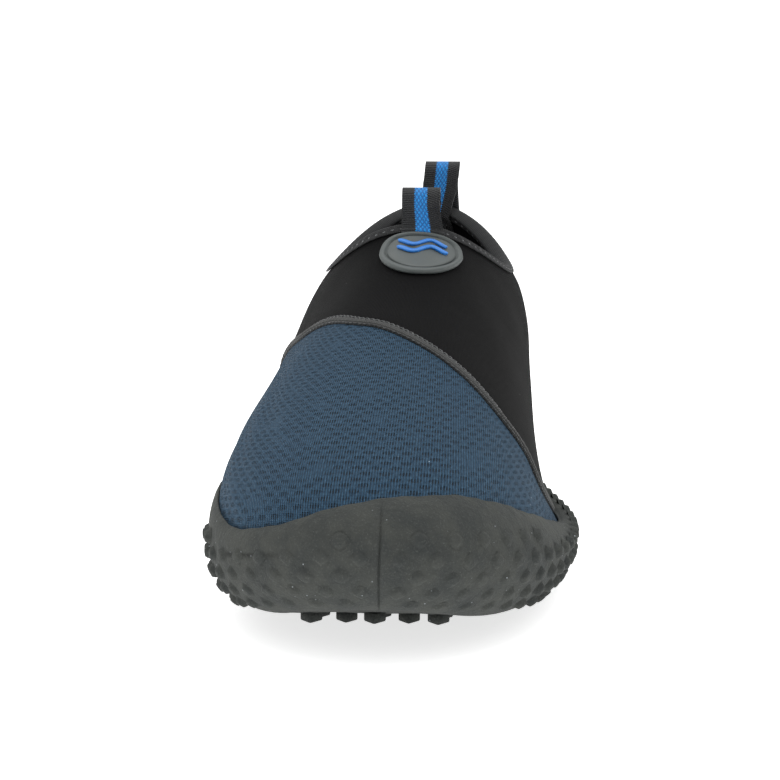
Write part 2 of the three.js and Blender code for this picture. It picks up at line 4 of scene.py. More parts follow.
import bmesh
import bpy
import numpy as np
from mathutils import Matrix, Vector


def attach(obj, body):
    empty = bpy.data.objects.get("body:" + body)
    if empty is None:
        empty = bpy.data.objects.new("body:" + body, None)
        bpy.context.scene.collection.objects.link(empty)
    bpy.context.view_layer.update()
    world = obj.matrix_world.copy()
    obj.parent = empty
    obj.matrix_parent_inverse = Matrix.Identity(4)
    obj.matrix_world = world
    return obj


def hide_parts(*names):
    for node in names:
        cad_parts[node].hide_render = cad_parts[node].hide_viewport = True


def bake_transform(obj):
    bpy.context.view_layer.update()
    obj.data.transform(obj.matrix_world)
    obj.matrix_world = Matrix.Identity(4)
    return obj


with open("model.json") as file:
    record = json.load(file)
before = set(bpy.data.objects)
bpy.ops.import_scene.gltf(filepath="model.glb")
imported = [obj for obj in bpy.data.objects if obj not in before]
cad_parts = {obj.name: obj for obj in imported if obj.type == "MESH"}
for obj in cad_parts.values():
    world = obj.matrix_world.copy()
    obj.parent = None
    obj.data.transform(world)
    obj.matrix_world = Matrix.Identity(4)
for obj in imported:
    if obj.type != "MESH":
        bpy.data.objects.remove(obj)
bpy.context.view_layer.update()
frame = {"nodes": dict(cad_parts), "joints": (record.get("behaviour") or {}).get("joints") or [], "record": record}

# Low slip-on neoprene water shoe, right foot. Lengths here are millimetres in the last's own
# frame: toe towards -Y, heel towards +Y, +X the inner side of the foot. place_mm() brings them
# to the frame's metres. Angles round the shoe are degrees: 0 the toe, 90 the inner side.

MM = 0.001
ORIGIN = np.array(frame["record"]["mounts"][0]["pos_m"])
HINGES = {j["name"]: (np.array(j["pos_m"]) - ORIGIN) / MM for j in frame["joints"]}

# ---- Driving dimensions, as the solids have them ----------------------------------------------

LAST_LENGTH = 270
LAST_WIDTH = 96.3
TOE_FULLNESS = 0.16
TOE_SQUARENESS = 0.049
INNER_SWAY = 3.5
BALL_SWAY = -2.27
HEEL_SWING = 1
ARCH_DEPTH = 8
ARCH_ANGLE = 112
ARCH_SPREAD = 21.6
HEEL_ROUNDNESS = 0.6
FEATHER_HEIGHT = 14
TOE_LIFT = 19.1

COLLAR_LENGTH = 92.5
COLLAR_WIDTH = 61.4
COLLAR_HEIGHT = 93.7
COLLAR_SET_IN = 1
COLLAR_SHIFT = 2.75
COLLAR_SADDLE = 9.1
COLLAR_FORWARD_TILT = 0.85
COLLAR_INNER_TILT = 0.1

SOLE_THICKNESS = 5.5
TREAD_DEPTH = 2
TOE_RISE = 18
HEEL_RISE = 2
BALL_SET_BACK = 75
HEEL_BEVEL = 27
SOLE_FLARE = 4
SOLE_LIP = 2.2
SOLE_ROUNDNESS = 0.9
LUG_LENGTH = 9
LUG_WIDTH = 7
LUG_PITCH_ACROSS = 18
LUG_PITCH_ALONG = 13
LUG_EDGE_MARGIN = 5

UPPER_THICKNESS = 3
MESH_THICKNESS = 1.2
WALL_INSET = 6
COVER_INSET = 4.4
COVER_BOTTOM = 5.9
COVER_THICKNESS = 0.8
CLEARANCE = 0.35
SEAM_GAP = 0.35

BINDING_DEPTH = 2.6
BINDING_THICKNESS = 0.6
HEEL_TAPE_THICKNESS = 0.55
BADGE_WIDTH = 28
BADGE_HEIGHT = 27
BADGE_THICKNESS = 1.5
BADGE_SEAT = 0.6
WEBBING_WIDTH = 12.5
WEBBING_THICKNESS = 1.15
LOOP_GAP = 6.4
FRONT_LOOP_HEIGHT = 10.4
REAR_LOOP_HEIGHT = 14.2

BADGE_ANGLE = 5.5
HEEL_ANGLE = 172.5
SEAM_INNER_END = 96
SEAM_OUTER_END = -126

# ---- The last's surface -----------------------------------------------------------------------


def place_mm(points):
    """Points of the last's frame, in millimetres, as the frame's metres."""
    return np.asarray(points) * MM + ORIGIN


def unit(vectors):
    return vectors / np.linalg.norm(vectors, axis=-1, keepdims=True)


def mix(start, end, share):
    return start + (end - start) * share


def smooth(share):
    """0 below 0, 1 above 1, and an even S between."""
    share = np.clip(share, 0, 1)
    return share * share * (3 - 2 * share)


def spline(points, steps):
    """A smooth line through points, the same spline as the solids have, with steps to each span."""
    points = np.array(points, float)
    ends = np.concatenate([points[:1], points, points[-1:]])
    t = np.arange(steps).reshape(-1, *[1] * (points.ndim - 1)) / steps
    runs = []
    for p0, p1, p2, p3 in zip(ends, ends[1:], ends[2:], ends[3:]):
        v0 = (p2 - p0) / 2
        v1 = (p3 - p1) / 2
        cubed = 2 * p1 - 2 * p2 + v0 + v1
        squared = 3 * p2 - 3 * p1 - 2 * v0 - v1
        runs.append(cubed * t**3 + squared * t**2 + v0 * t + p1)
    return np.concatenate([*runs, points[-1:]])


def curve_through(points):
    """A smooth height against angle through a few points."""
    line = spline(points, 24)
    return lambda angle: np.interp(angle, line[:, 0], line[:, 1])


# The vamp seam between mesh toe and neoprene: 0 is the feather line, 1 the collar.
seam_height = curve_through([
    (-132, -0.9), (-127, -0.5), (-122, 0), (-112, 0.19), (-100, 0.36), (-84, 0.58), (-69, 0.665),
    (-53, 0.682), (-39, 0.69), (-27, 0.683), (-16, 0.66), (-5, 0.633), (8, 0.575), (22, 0.495),
    (38, 0.385), (52, 0.297), (62, 0.205), (71, 0.135), (82, 0.06), (90, 0.01), (96, -0.5), (102, -0.9),
])

# The top edge of the rubber wall.
rubber_height = curve_through([
    (-204, 0.2), (-180, 0.22), (-156, 0.2), (-130, 0.13), (-100, 0.11), (-76, 0.16), (-61, 0.2),
    (-52, 0.17), (-45, 0.127), (-38, 0.092), (-30, 0.073), (-20, 0.086), (-13, 0.106), (-6, 0.134),
    (5, 0.156), (17, 0.165), (29, 0.155), (42, 0.13), (55, 0.1), (65, 0.07), (75, 0.038), (84, 0.02),
    (98, 0.02), (116, 0.05), (138, 0.13), (156, 0.2), (180, 0.22), (204, 0.2),
])


def feather_plan(a):
    """The feather line, where upper meets sole, in plan."""
    c = np.cos(a)
    back = np.maximum(0, -c)
    fullness = np.sin(a) + TOE_FULLNESS * np.sin(2 * a) + TOE_SQUARENESS * np.sin(3 * a)
    sway = INNER_SWAY * (1 - np.cos(2 * a)) + BALL_SWAY * (c - np.cos(3 * a))
    from_arch = np.angle(np.exp(1j * (a - np.radians(ARCH_ANGLE))))
    arch = ARCH_DEPTH * np.exp(-((from_arch / np.radians(ARCH_SPREAD)) ** 2))
    x = LAST_WIDTH / 2 * fullness + sway - arch + HEEL_SWING * ((1 - c) / 2) ** 4
    along = np.where(c < 0, back + HEEL_ROUNDNESS * back**2 * (1 - back), -c)
    return np.stack([x, LAST_LENGTH / 2 * along, 0 * x], -1)


def collar_plan(a):
    c = np.cos(a)
    middle = LAST_LENGTH / 2 - COLLAR_SET_IN - COLLAR_LENGTH / 2
    x = COLLAR_SHIFT + COLLAR_WIDTH / 2 * np.sin(a) + HEEL_SWING * ((1 - c) / 2) ** 4
    return np.stack([x, middle - COLLAR_LENGTH / 2 * c, 0 * x], -1)


def outward(plan, a, step=0.001):
    """The direction that faces out from a plan outline."""
    along = plan(a + step) - plan(a - step)
    return unit(np.stack([along[..., 1], -along[..., 0], 0 * a], -1))


def rise(y):
    """How far the underside is off the ground at the toe and the heel."""
    toe = np.maximum(0, BALL_SET_BACK - LAST_LENGTH / 2 - y) / BALL_SET_BACK
    heel = np.maximum(0, y - LAST_LENGTH / 2 + HEEL_BEVEL) / HEEL_BEVEL
    return TOE_RISE * toe**2 + HEEL_RISE * heel**2


def board_height(y):
    return TREAD_DEPTH + SOLE_THICKNESS + rise(y)


def feather_z(y):
    return FEATHER_HEIGHT + TOE_LIFT * (0.5 - y / LAST_LENGTH) ** 4


def upper_face(a, t):
    """The upper's outer face between the feather line (0) and the collar (1)."""
    s = np.sin(a)
    c = np.cos(a)
    front = (1 + c) / 2
    bottom = feather_plan(a)
    bottom[..., 2] = feather_z(bottom[..., 1])
    top = collar_plan(a)
    top[..., 2] = (
        COLLAR_HEIGHT + COLLAR_FORWARD_TILT * c + COLLAR_SADDLE * np.cos(2 * a) + COLLAR_INNER_TILT * s
    )
    foot_out = outward(feather_plan, a)
    toe_share = front**2.51
    instep_share = front**2.87
    heel_share = (1 - front) ** 4
    wall_reach = mix(25.2, 29.5, toe_share) + 3.1 * s**2
    wall_lean = mix(-0.345, 0.29, toe_share) - 0.39 * s + 0.45 * heel_share
    instep_reach = mix(36, 27.5, instep_share) - 7.15 * s - 10 * heel_share
    slope = np.radians(mix(42.3, 64.4, instep_share) + 7.2 * s + 26 * heel_share)
    low = bottom + foot_out * (wall_reach * wall_lean)[..., None]
    low[..., 2] += wall_reach
    high = top + outward(collar_plan, a) * (instep_reach * np.cos(slope))[..., None]
    high[..., 2] -= instep_reach * np.sin(slope)
    t = np.asarray(t)
    r = 1 - t
    weights = [w[..., None] for w in (r**3, 3 * r**2 * t, 3 * r * t**2, t**3)]
    point = bottom * weights[0] + low * weights[1] + high * weights[2] + top * weights[3]
    hollow = np.maximum(0, -s) ** 2 * front
    hollow = hollow * (-11.2 * np.sin(np.pi * t) + 4 * np.sin(2 * np.pi * t))
    return point + foot_out * hollow[..., None]


def upper_normal(a, t, step=0.002):
    around = upper_face(a + step, t) - upper_face(a - step, t)
    up = upper_face(a, t + step) - upper_face(a, t - step)
    return unit(np.cross(around, up))


def skin(degrees, height, offset):
    """A point at a height on the last, offset outwards. Below the feather line the wall turns in."""
    degrees, height, offset = np.broadcast_arrays(degrees, height, offset)
    a = np.radians(degrees)
    up = np.clip(height, 0.0001, 1)
    above = upper_face(a, up) + upper_normal(a, up) * offset[..., None]
    foot = feather_plan(a)
    out = outward(feather_plan, a)
    turn = np.clip(-height, 0, 1) * np.pi / 2
    inward = offset * np.cos(turn) - WALL_INSET * (1 - np.cos(turn))
    floor = board_height(foot[..., 1] - out[..., 1] * WALL_INSET)
    top = feather_z(foot[..., 1])
    below = foot + out * inward[..., None]
    below[..., 2] = top - (top - floor + offset) * np.sin(turn)
    return np.where((height > 0)[..., None], above, below)


def sole_outside(degrees, share, proud=0):
    """The sole unit from outside: share 0 is the feather line's height, 1 the tread's edge."""
    a = np.radians(degrees)
    foot = feather_plan(a)
    out = outward(feather_plan, a)
    top = feather_z(foot[..., 1])
    reach = SOLE_ROUNDNESS * (top - TREAD_DEPTH - rise(foot[..., 1])) + SOLE_FLARE
    edge = foot - out * (reach - SOLE_FLARE)[..., None]
    tread = TREAD_DEPTH + rise(edge[..., 1])
    turn = share * np.pi / 2
    along = SOLE_FLARE - reach * (1 - np.cos(turn)) + proud * np.cos(turn)
    point = foot + out * along[..., None]
    point[..., 2] = top - (top - tread) * np.sin(turn) - proud * np.sin(turn)
    return point


def arc_lengths(points, axis):
    """Length run along one axis of a grid of points, starting from 0."""
    steps = np.linalg.norm(np.diff(points, axis=axis), axis=-1)
    start = np.zeros_like(np.take(steps, [0], axis=axis))
    return np.concatenate([start, np.cumsum(steps, axis=axis)], axis=axis)


# ---- Meshes -----------------------------------------------------------------------------------


def loft(points, ring=False, tube=False, material=0, uv=None):
    """A skin through rows of points, in millimetres. A ring closes along its rows and a tube across
    them. Its UV map is in metres: along the middle row, and up each column."""
    rows, columns = points.shape[:2]
    made = bmesh.new()
    bmesh.ops.create_grid(made, x_segments=columns - 1, y_segments=rows - 1, size=1)
    mesh = bpy.data.meshes.new("loft")
    made.to_mesh(mesh)
    made.free()
    mesh.vertices.foreach_set("co", place_mm(points).astype(np.float32).ravel())
    if uv is None:
        along = arc_lengths(points[rows // 2 : rows // 2 + 1], 1)
        uv = np.stack([np.broadcast_to(along, (rows, columns)), arc_lengths(points, 0)], -1) * MM
    corners = np.empty(len(mesh.loops), np.int32)
    mesh.loops.foreach_get("vertex_index", corners)
    layer = mesh.uv_layers.new(name="cloth")
    layer.data.foreach_set("uv", uv.reshape(-1, 2)[corners].astype(np.float32).ravel())
    mesh.polygons.foreach_set("material_index", [material] * len(mesh.polygons))
    if ring or tube:
        made = bmesh.new()
        made.from_mesh(mesh)
        bmesh.ops.remove_doubles(made, verts=made.verts, dist=0.002 * MM)
        made.to_mesh(mesh)
        made.free()
    return mesh


def piece(name, meshes, materials, body="shoe", replaces=(), closed=False):
    """One object from several meshes, riding on a body and standing for its solids."""
    made = bmesh.new()
    for mesh in meshes:
        made.from_mesh(mesh)
    if closed:
        bmesh.ops.recalc_face_normals(made, faces=made.faces)
    mesh = bpy.data.meshes.new(name)
    made.to_mesh(mesh)
    made.free()
    mesh.shade_smooth()
    for material in materials:
        mesh.materials.append(material)
    obj = bpy.data.objects.new(name, mesh)
    bpy.context.scene.collection.objects.link(obj)
    if body:
        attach(obj, body)
    if replaces:
        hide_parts(*replaces)
    return obj


def thicken(obj, thickness, offset=-1, inner=0, rim=0):
    """Gives a cloth its thickness, inwards unless offset says otherwise."""
    solid = obj.modifiers.new("thickness", "SOLIDIFY")
    solid.thickness = thickness * MM
    solid.offset = offset
    solid.material_offset = inner
    solid.material_offset_rim = rim
    solid.use_even_offset = False
    return obj


def frames_on(points, along, out):
    """A matrix for each point, with X along and Z out of the surface."""
    x = unit(along)
    z = unit(out - x * np.sum(out * x, -1, keepdims=True))
    y = np.cross(z, x)
    found = []
    for p, i, j, k in zip(place_mm(points), x, y, z):
        found.append(Matrix(((i[0], j[0], k[0], p[0]), (i[1], j[1], k[1], p[1]),
                             (i[2], j[2], k[2], p[2]), (0, 0, 0, 1))))
    return found


def copies(template, matrices):
    """One mesh that holds a copy of the template at each matrix."""
    made = bmesh.new()
    for matrix in matrices:
        template.transform(matrix)
        made.from_mesh(template)
        template.transform(matrix.inverted())
    mesh = bpy.data.meshes.new("copies")
    made.to_mesh(mesh)
    made.free()
    return mesh


def stitch_mesh(length, width, height):
    """One stitch: a short length of thread, fat in the middle, its ends sunk in the cloth."""
    made = bmesh.new()
    bmesh.ops.create_uvsphere(made, u_segments=6, v_segments=5, radius=0.5 * MM)
    bmesh.ops.rotate(made, verts=made.verts, matrix=Matrix.Rotation(math.pi / 2, 3, "Y"))
    bmesh.ops.scale(made, verts=made.verts, vec=(length, width, height))
    mesh = bpy.data.meshes.new("stitch")
    made.to_mesh(mesh)
    made.free()
    return mesh


def stitches_along(points, out, pitch, length, width, height, turn=0, lift=0):
    """Stitches at even spacing along a line of points, each turned in the cloth's plane."""
    run = arc_lengths(points, 0)
    total = run[-1]
    count = max(1, round(total / pitch))
    places = (np.arange(count) + 0.5) * total / count
    at = np.stack([np.interp(places, run, points[:, k]) for k in range(3)], -1)
    ahead = np.stack([np.interp(places + 0.05, run, points[:, k]) for k in range(3)], -1)
    behind = np.stack([np.interp(places - 0.05, run, points[:, k]) for k in range(3)], -1)
    normal = unit(np.stack([np.interp(places, run, out[:, k]) for k in range(3)], -1))
    matrices = frames_on(at + normal * lift, ahead - behind, normal)
    turned = []
    for i, matrix in enumerate(matrices):
        angle = turn if i % 2 == 0 else -turn
        turned.append(matrix @ Matrix.Rotation(math.radians(angle), 4, "Z"))
    return copies(stitch_mesh(length, width, height), turned)


# ---- Materials --------------------------------------------------------------------------------


def colour(value):
    """An sRGB hex colour as linear RGBA."""
    found = []
    for start in (1, 3, 5):
        share = int(value[start : start + 2], 16) / 255
        found.append(share / 12.92 if share <= 0.04045 else ((share + 0.055) / 1.055) ** 2.4)
    return (*found, 1)


def add(tree, kind, inputs=None, **settings):
    """Adds a node with its settings. Each input is a value, or an output to link from."""
    made = tree.nodes.new(kind)
    for name, value in settings.items():
        setattr(made, name, value)
    for socket, value in (inputs or {}).items():
        if isinstance(value, bpy.types.NodeSocket):
            tree.links.new(value, made.inputs[socket])
        else:
            made.inputs[socket].default_value = value
    return made


def start_material(name, base, roughness, **shader):
    """A material with its shader's constants set. Returns it, its node tree and its shader."""
    material = bpy.data.materials.new(name)
    material.use_nodes = True
    tree = material.node_tree
    principled = tree.nodes["Principled BSDF"]
    principled.inputs["Base Color"].default_value = colour(base)
    principled.inputs["Roughness"].default_value = roughness
    for socket, value in shader.items():
        principled.inputs[socket.replace("_", " ")].default_value = value
    return material, tree, principled


RIDGE_SCALE = math.pi / 10  # A Wave node at this scale makes one ridge for each unit.


def repeats(x, y=None, z=None):
    """The Mapping scale that repeats a pattern once for each pitch, in millimetres."""
    return tuple(1 / (pitch * MM) for pitch in (x, y or x, z or x))


def lint(tree, place, base, spacing, size, shade):
    """Sparse pale specks of lint or grit on a base colour."""
    spread = add(tree, "ShaderNodeMapping", {"Vector": place, "Scale": repeats(spacing)}).outputs[0]
    cells = add(tree, "ShaderNodeTexVoronoi", {"Vector": spread, "Scale": 1, "Randomness": 1})
    near = add(tree, "ShaderNodeMapRange", {
        "Value": cells.outputs["Distance"], 1: size / spacing, 2: 0.4 * size / spacing,
    }, interpolation_type="SMOOTHSTEP").outputs[0]
    chance = add(tree, "ShaderNodeSeparateColor", {"Color": cells.outputs["Color"]}).outputs[0]
    some = add(tree, "ShaderNodeMapRange", {
        "Value": chance, 1: 0.35, 2: 1.0,
    }, interpolation_type="SMOOTHSTEP").outputs[0]
    share = add(tree, "ShaderNodeMath", {0: near, 1: some}, operation="MULTIPLY").outputs[0]
    return add(tree, "ShaderNodeMix", {
        "Factor": share, 6: base, 7: colour(shade),
    }, data_type="RGBA").outputs[2]


def finish_surface(tree, principled, base, layers):
    """Links the colour, and lays relief on relief: each a height, its millimetres and its strength."""
    tree.links.new(base, principled.inputs["Base Color"])
    normal = None
    for height, depth, strength in layers:
        inputs = {"Height": height, "Distance": depth * MM, "Strength": strength}
        if normal:
            inputs["Normal"] = normal
        normal = add(tree, "ShaderNodeBump", inputs).outputs["Normal"]
    tree.links.new(normal, principled.inputs["Normal"])


def moulded_rubber():
    """Compression-moulded rubber, unpolished: dull, faintly mottled, dusty with fine grit."""
    material, tree, principled = start_material(
        "moulded_sole_rubber", "#343533", 0.84, Sheen_Weight=0.06, Sheen_Roughness=0.6,
        Sheen_Tint=colour("#8f918c"), Specular_IOR_Level=0.2,
    )
    place = add(tree, "ShaderNodeTexCoord").outputs["Object"]
    # Cloudy patches 9 mm across, crumbs of 3 mm and a grain of half a millimetre.
    patches, crumbs, grain = [
        add(tree, "ShaderNodeTexNoise", {
            "Vector": add(tree, "ShaderNodeMapping", {"Vector": place, "Scale": repeats(size)}).outputs[0],
            "Scale": 1, "Detail": detail, "Roughness": roughness,
        }).outputs["Fac"]
        for size, detail, roughness in ((9, 3, 0.6), (3.2, 4, 0.65), (0.55, 3, 0.7))
    ]
    mottle = add(tree, "ShaderNodeMapRange", {
        "Value": patches, 1: 0.3, 2: 0.7,
    }, interpolation_type="SMOOTHSTEP").outputs[0]
    base = add(tree, "ShaderNodeMix", {
        "Factor": mottle, 6: colour("#343736"), 7: colour("#424441"),
    }, data_type="RGBA").outputs[2]
    dust = add(tree, "ShaderNodeMapRange", {
        "Value": grain, 1: 0.5, 2: 0.85, 4: 0.4,
    }, interpolation_type="SMOOTHSTEP").outputs[0]
    dusty = add(tree, "ShaderNodeMix", {
        "Factor": dust, 6: base, 7: colour("#6d706d"),
    }, data_type="RGBA").outputs[2]
    dullness = add(tree, "ShaderNodeMapRange", {
        "Value": patches, 1: 0.3, 2: 0.75, 3: 0.78, 4: 0.92,
    }, interpolation_type="SMOOTHSTEP").outputs[0]
    tree.links.new(dullness, principled.inputs["Roughness"])
    gritty = lint(tree, place, dusty, 3.2, 0.28, "#a3a9ad")
    finish_surface(tree, principled, gritty, [(patches, 0.6, 0.6), (crumbs, 0.9, 0.8), (grain, 0.14, 1)])
    return material


def warp_knit_mesh():
    """Warp-knit polyester spacer mesh: fine upright ribs, with staggered groups of small holes."""
    material, tree, principled = start_material(
        "warp_knit_mesh", "#3c5262", 0.78, Sheen_Weight=0.12, Sheen_Roughness=0.45,
        Sheen_Tint=colour("#9ab4c6"), Specular_IOR_Level=0.2,
    )
    coordinates = add(tree, "ShaderNodeTexCoord")
    uv = coordinates.outputs["UV"]
    # The real ribs stand closer than 0.8 mm, too fine to show.
    ribs, rungs = [
        add(tree, "ShaderNodeTexWave", {
            "Vector": add(tree, "ShaderNodeMapping", {"Vector": uv, "Scale": repeats(*pitch)}).outputs[0],
            "Scale": RIDGE_SCALE, "Distortion": distortion, "Detail": 1, "Detail Scale": 1.5,
        }, bands_direction=axis).outputs["Fac"]
        for axis, pitch, distortion in (("X", (0.8, 3), 0.6), ("Y", (3, 0.58), 0.4))
    ]
    # Two sets of hole groups, each 5.5 by 5.4 mm apart, stand half a step off each other.
    holes = None
    for shift in ((0, 0, 0), (0.5, 0.5, 0)):
        cell = add(tree, "ShaderNodeVectorMath", {
            0: add(tree, "ShaderNodeMapping", {
                "Vector": uv, "Location": shift, "Scale": repeats(5.5, 5.4, 5.5),
            }).outputs[0],
        }, operation="FRACTION").outputs[0]
        centred = add(tree, "ShaderNodeVectorMath", {
            0: cell, 1: (0.5, 0.5, 0),
        }, operation="SUBTRACT").outputs[0]
        flat = add(tree, "ShaderNodeVectorMath", {
            0: centred, 1: (1 / 0.32, 1 / 0.17, 0),
        }, operation="MULTIPLY").outputs[0]
        reach = add(tree, "ShaderNodeVectorMath", {0: flat}, operation="LENGTH").outputs["Value"]
        inside = add(tree, "ShaderNodeMapRange", {
            "Value": reach, 1: 1.15, 2: 0.75,
        }, interpolation_type="SMOOTHSTEP").outputs[0]
        if holes:
            inside = add(tree, "ShaderNodeMath", {0: holes, 1: inside}, operation="MAXIMUM").outputs[0]
        holes = inside
    between_ribs, between_rungs = [
        add(tree, "ShaderNodeMapRange", {
            "Value": value, 1: low, 2: high,
        }, interpolation_type="SMOOTHSTEP").outputs[0]
        for value, low, high in ((ribs, 0.75, 0.25), (rungs, 0.85, 0.4))
    ]
    cloud, yarn = [
        add(tree, "ShaderNodeTexNoise", {
            "Vector": add(tree, "ShaderNodeMapping", {"Vector": uv, "Scale": repeats(*size)}).outputs[0],
            "Scale": 1, "Detail": 2, "Roughness": roughness,
        }).outputs["Fac"]
        for size, roughness in (((11,), 0.5), ((0.5, 1.6), 0.7))
    ]
    uneven = add(tree, "ShaderNodeMapRange", {
        "Value": cloud, 1: 0.3, 2: 0.5,
    }, interpolation_type="SMOOTHSTEP").outputs[0]
    # The holes are painted near black: the dark lining seen through them, darkened further with painted shade.
    pits = add(tree, "ShaderNodeMath", {0: between_ribs, 1: between_rungs}, operation="MULTIPLY").outputs[0]
    for share in (holes, uneven):
        pits = add(tree, "ShaderNodeMath", {0: pits, 1: share}, operation="MULTIPLY").outputs[0]
    heather = add(tree, "ShaderNodeMapRange", {
        "Value": yarn, 1: 0.25, 2: 0.8,
    }, interpolation_type="SMOOTHSTEP").outputs[0]
    # Painted shade: the grooves between the ribs are painted darker, towards #0d1820.
    painted_groove_shade = add(tree, "ShaderNodeMapRange", {
        "Value": ribs, 1: 0.75, 2: 0.05, 4: 0.6,
    }, interpolation_type="SMOOTHSTEP").outputs[0]
    base = colour("#15344b")
    for share, shade in ((heather, "#3c5d77"), (painted_groove_shade, "#0d1820"), (pits, "#0a0f14")):
        base = add(tree, "ShaderNodeMix", {
            "Factor": share, 6: base, 7: colour(shade),
        }, data_type="RGBA").outputs[2]
    closed = add(tree, "ShaderNodeMath", {0: 1, 1: pits}, operation="SUBTRACT").outputs[0]
    specked = lint(tree, coordinates.outputs["Object"], base, 7, 0.24, "#b7c6d0")
    finish_surface(tree, principled, specked, [(ribs, 0.22, 1), (rungs, 0.08, 1), (closed, 0.4, 1)])
    return material


def jersey_neoprene(name, dark, light, sheen, specks=True):
    """Neoprene foam faced with nylon jersey: near black, finely ribbed, pale sheen at the edges."""
    material, tree, principled = start_material(
        name, dark, 0.86, Sheen_Weight=sheen, Sheen_Roughness=0.4, Sheen_Tint=colour("#a9aaa6"),
        Specular_IOR_Level=0.08,
    )
    coordinates = add(tree, "ShaderNodeTexCoord")
    place = coordinates.outputs["Object"]
    uv = coordinates.outputs["UV"]
    ribs = add(tree, "ShaderNodeTexWave", {
        "Vector": add(tree, "ShaderNodeMapping", {"Vector": uv, "Scale": repeats(0.55, 4)}).outputs[0],
        "Scale": RIDGE_SCALE, "Distortion": 0.8, "Detail": 1, "Detail Scale": 1.5,
    }, bands_direction="X").outputs["Fac"]
    pile, patches = [
        add(tree, "ShaderNodeTexNoise", {
            "Vector": add(tree, "ShaderNodeMapping", {"Vector": source, "Scale": repeats(*size)}).outputs[0],
            "Scale": 1, "Detail": detail, "Roughness": roughness,
        }).outputs["Fac"]
        for source, size, detail, roughness in ((uv, (0.7, 1.5), 3, 0.7), (place, (16,), 2, 0.5))
    ]
    nap, cloud = [
        add(tree, "ShaderNodeMapRange", {
            "Value": value, 1: 0.2, 2: high, 3: lowest,
        }, interpolation_type="SMOOTHSTEP").outputs[0]
        for value, high, lowest in ((pile, 0.9, 0), (patches, 0.8, 0.6))
    ]
    share = add(tree, "ShaderNodeMath", {0: nap, 1: cloud}, operation="MULTIPLY").outputs[0]
    base = add(tree, "ShaderNodeMix", {
        "Factor": share, 6: colour(dark), 7: colour(light),
    }, data_type="RGBA").outputs[2]
    if specks:
        base = lint(tree, place, base, 6.5, 0.26, "#8c8c88")
    finish_surface(tree, principled, base, [(patches, 0.5, 0.5), (ribs, 0.07, 1), (pile, 0.06, 1)])
    return material


def woven_tape(name, dark, light, pitch, sheen=0.3):
    """Narrow woven or elastic tape: a tight over-and-under weave with a slight thread sheen."""
    material, tree, principled = start_material(
        name, dark, 0.74, Sheen_Weight=sheen, Sheen_Roughness=0.4, Sheen_Tint=colour("#9b9d9e"),
    )
    uv = add(tree, "ShaderNodeTexCoord").outputs["UV"]
    spread = add(tree, "ShaderNodeMapping", {"Vector": uv, "Scale": repeats(pitch)}).outputs[0]
    across, along = [
        add(tree, "ShaderNodeTexWave", {
            "Vector": spread, "Scale": RIDGE_SCALE, "Distortion": 0.5, "Detail": 1, "Detail Scale": 1.5,
        }, bands_direction=axis).outputs["Fac"]
        for axis in ("X", "Y")
    ]
    weave = add(tree, "ShaderNodeMath", {0: across, 1: along}, operation="MULTIPLY").outputs[0]
    fuzz = add(tree, "ShaderNodeTexNoise", {
        "Vector": add(tree, "ShaderNodeMapping", {"Vector": uv, "Scale": repeats(0.6, 0.9)}).outputs[0],
        "Scale": 1, "Detail": 2, "Roughness": 0.7,
    }).outputs["Fac"]
    # Painted highlight and shade: the raised threads of the weave are painted lighter and the gaps between them
    # darker.
    raised, hairy = [
        add(tree, "ShaderNodeMapRange", {
            "Value": value, 1: low, 2: 0.8, 3: lowest,
        }, interpolation_type="SMOOTHSTEP").outputs[0]
        for value, low, lowest in ((weave, 0, 0), (fuzz, 0.2, 0.4))
    ]
    share = add(tree, "ShaderNodeMath", {0: raised, 1: hairy}, operation="MULTIPLY").outputs[0]
    base = add(tree, "ShaderNodeMix", {
        "Factor": share, 6: colour(dark), 7: colour(light),
    }, data_type="RGBA").outputs[2]
    finish_surface(tree, principled, base, [(weave, 0.12, 1), (fuzz, 0.06, 1)])
    return material


def twisted_thread(name, dark, light):
    """Twisted polyester sewing thread: slanting plies with a soft shine."""
    material, tree, principled = start_material(name, light, 0.55, Sheen_Weight=0.3)
    place = add(tree, "ShaderNodeTexCoord").outputs["Object"]
    plies = add(tree, "ShaderNodeTexWave", {
        "Vector": add(tree, "ShaderNodeMapping", {"Vector": place, "Scale": repeats(0.35)}).outputs[0],
        "Scale": RIDGE_SCALE, "Distortion": 0.5, "Detail": 1, "Detail Scale": 1.5,
    }, bands_direction="DIAGONAL").outputs["Fac"]
    # Painted highlight: the crest of each ply is painted lighter than its sides.
    lit = add(tree, "ShaderNodeMapRange", {
        "Value": plies, 1: 0.1, 2: 0.7,
    }, interpolation_type="SMOOTHSTEP").outputs[0]
    base = add(tree, "ShaderNodeMix", {
        "Factor": lit, 6: colour(dark), 7: colour(light),
    }, data_type="RGBA").outputs[2]
    finish_surface(tree, principled, base, [(plies, 0.06, 1)])
    return material


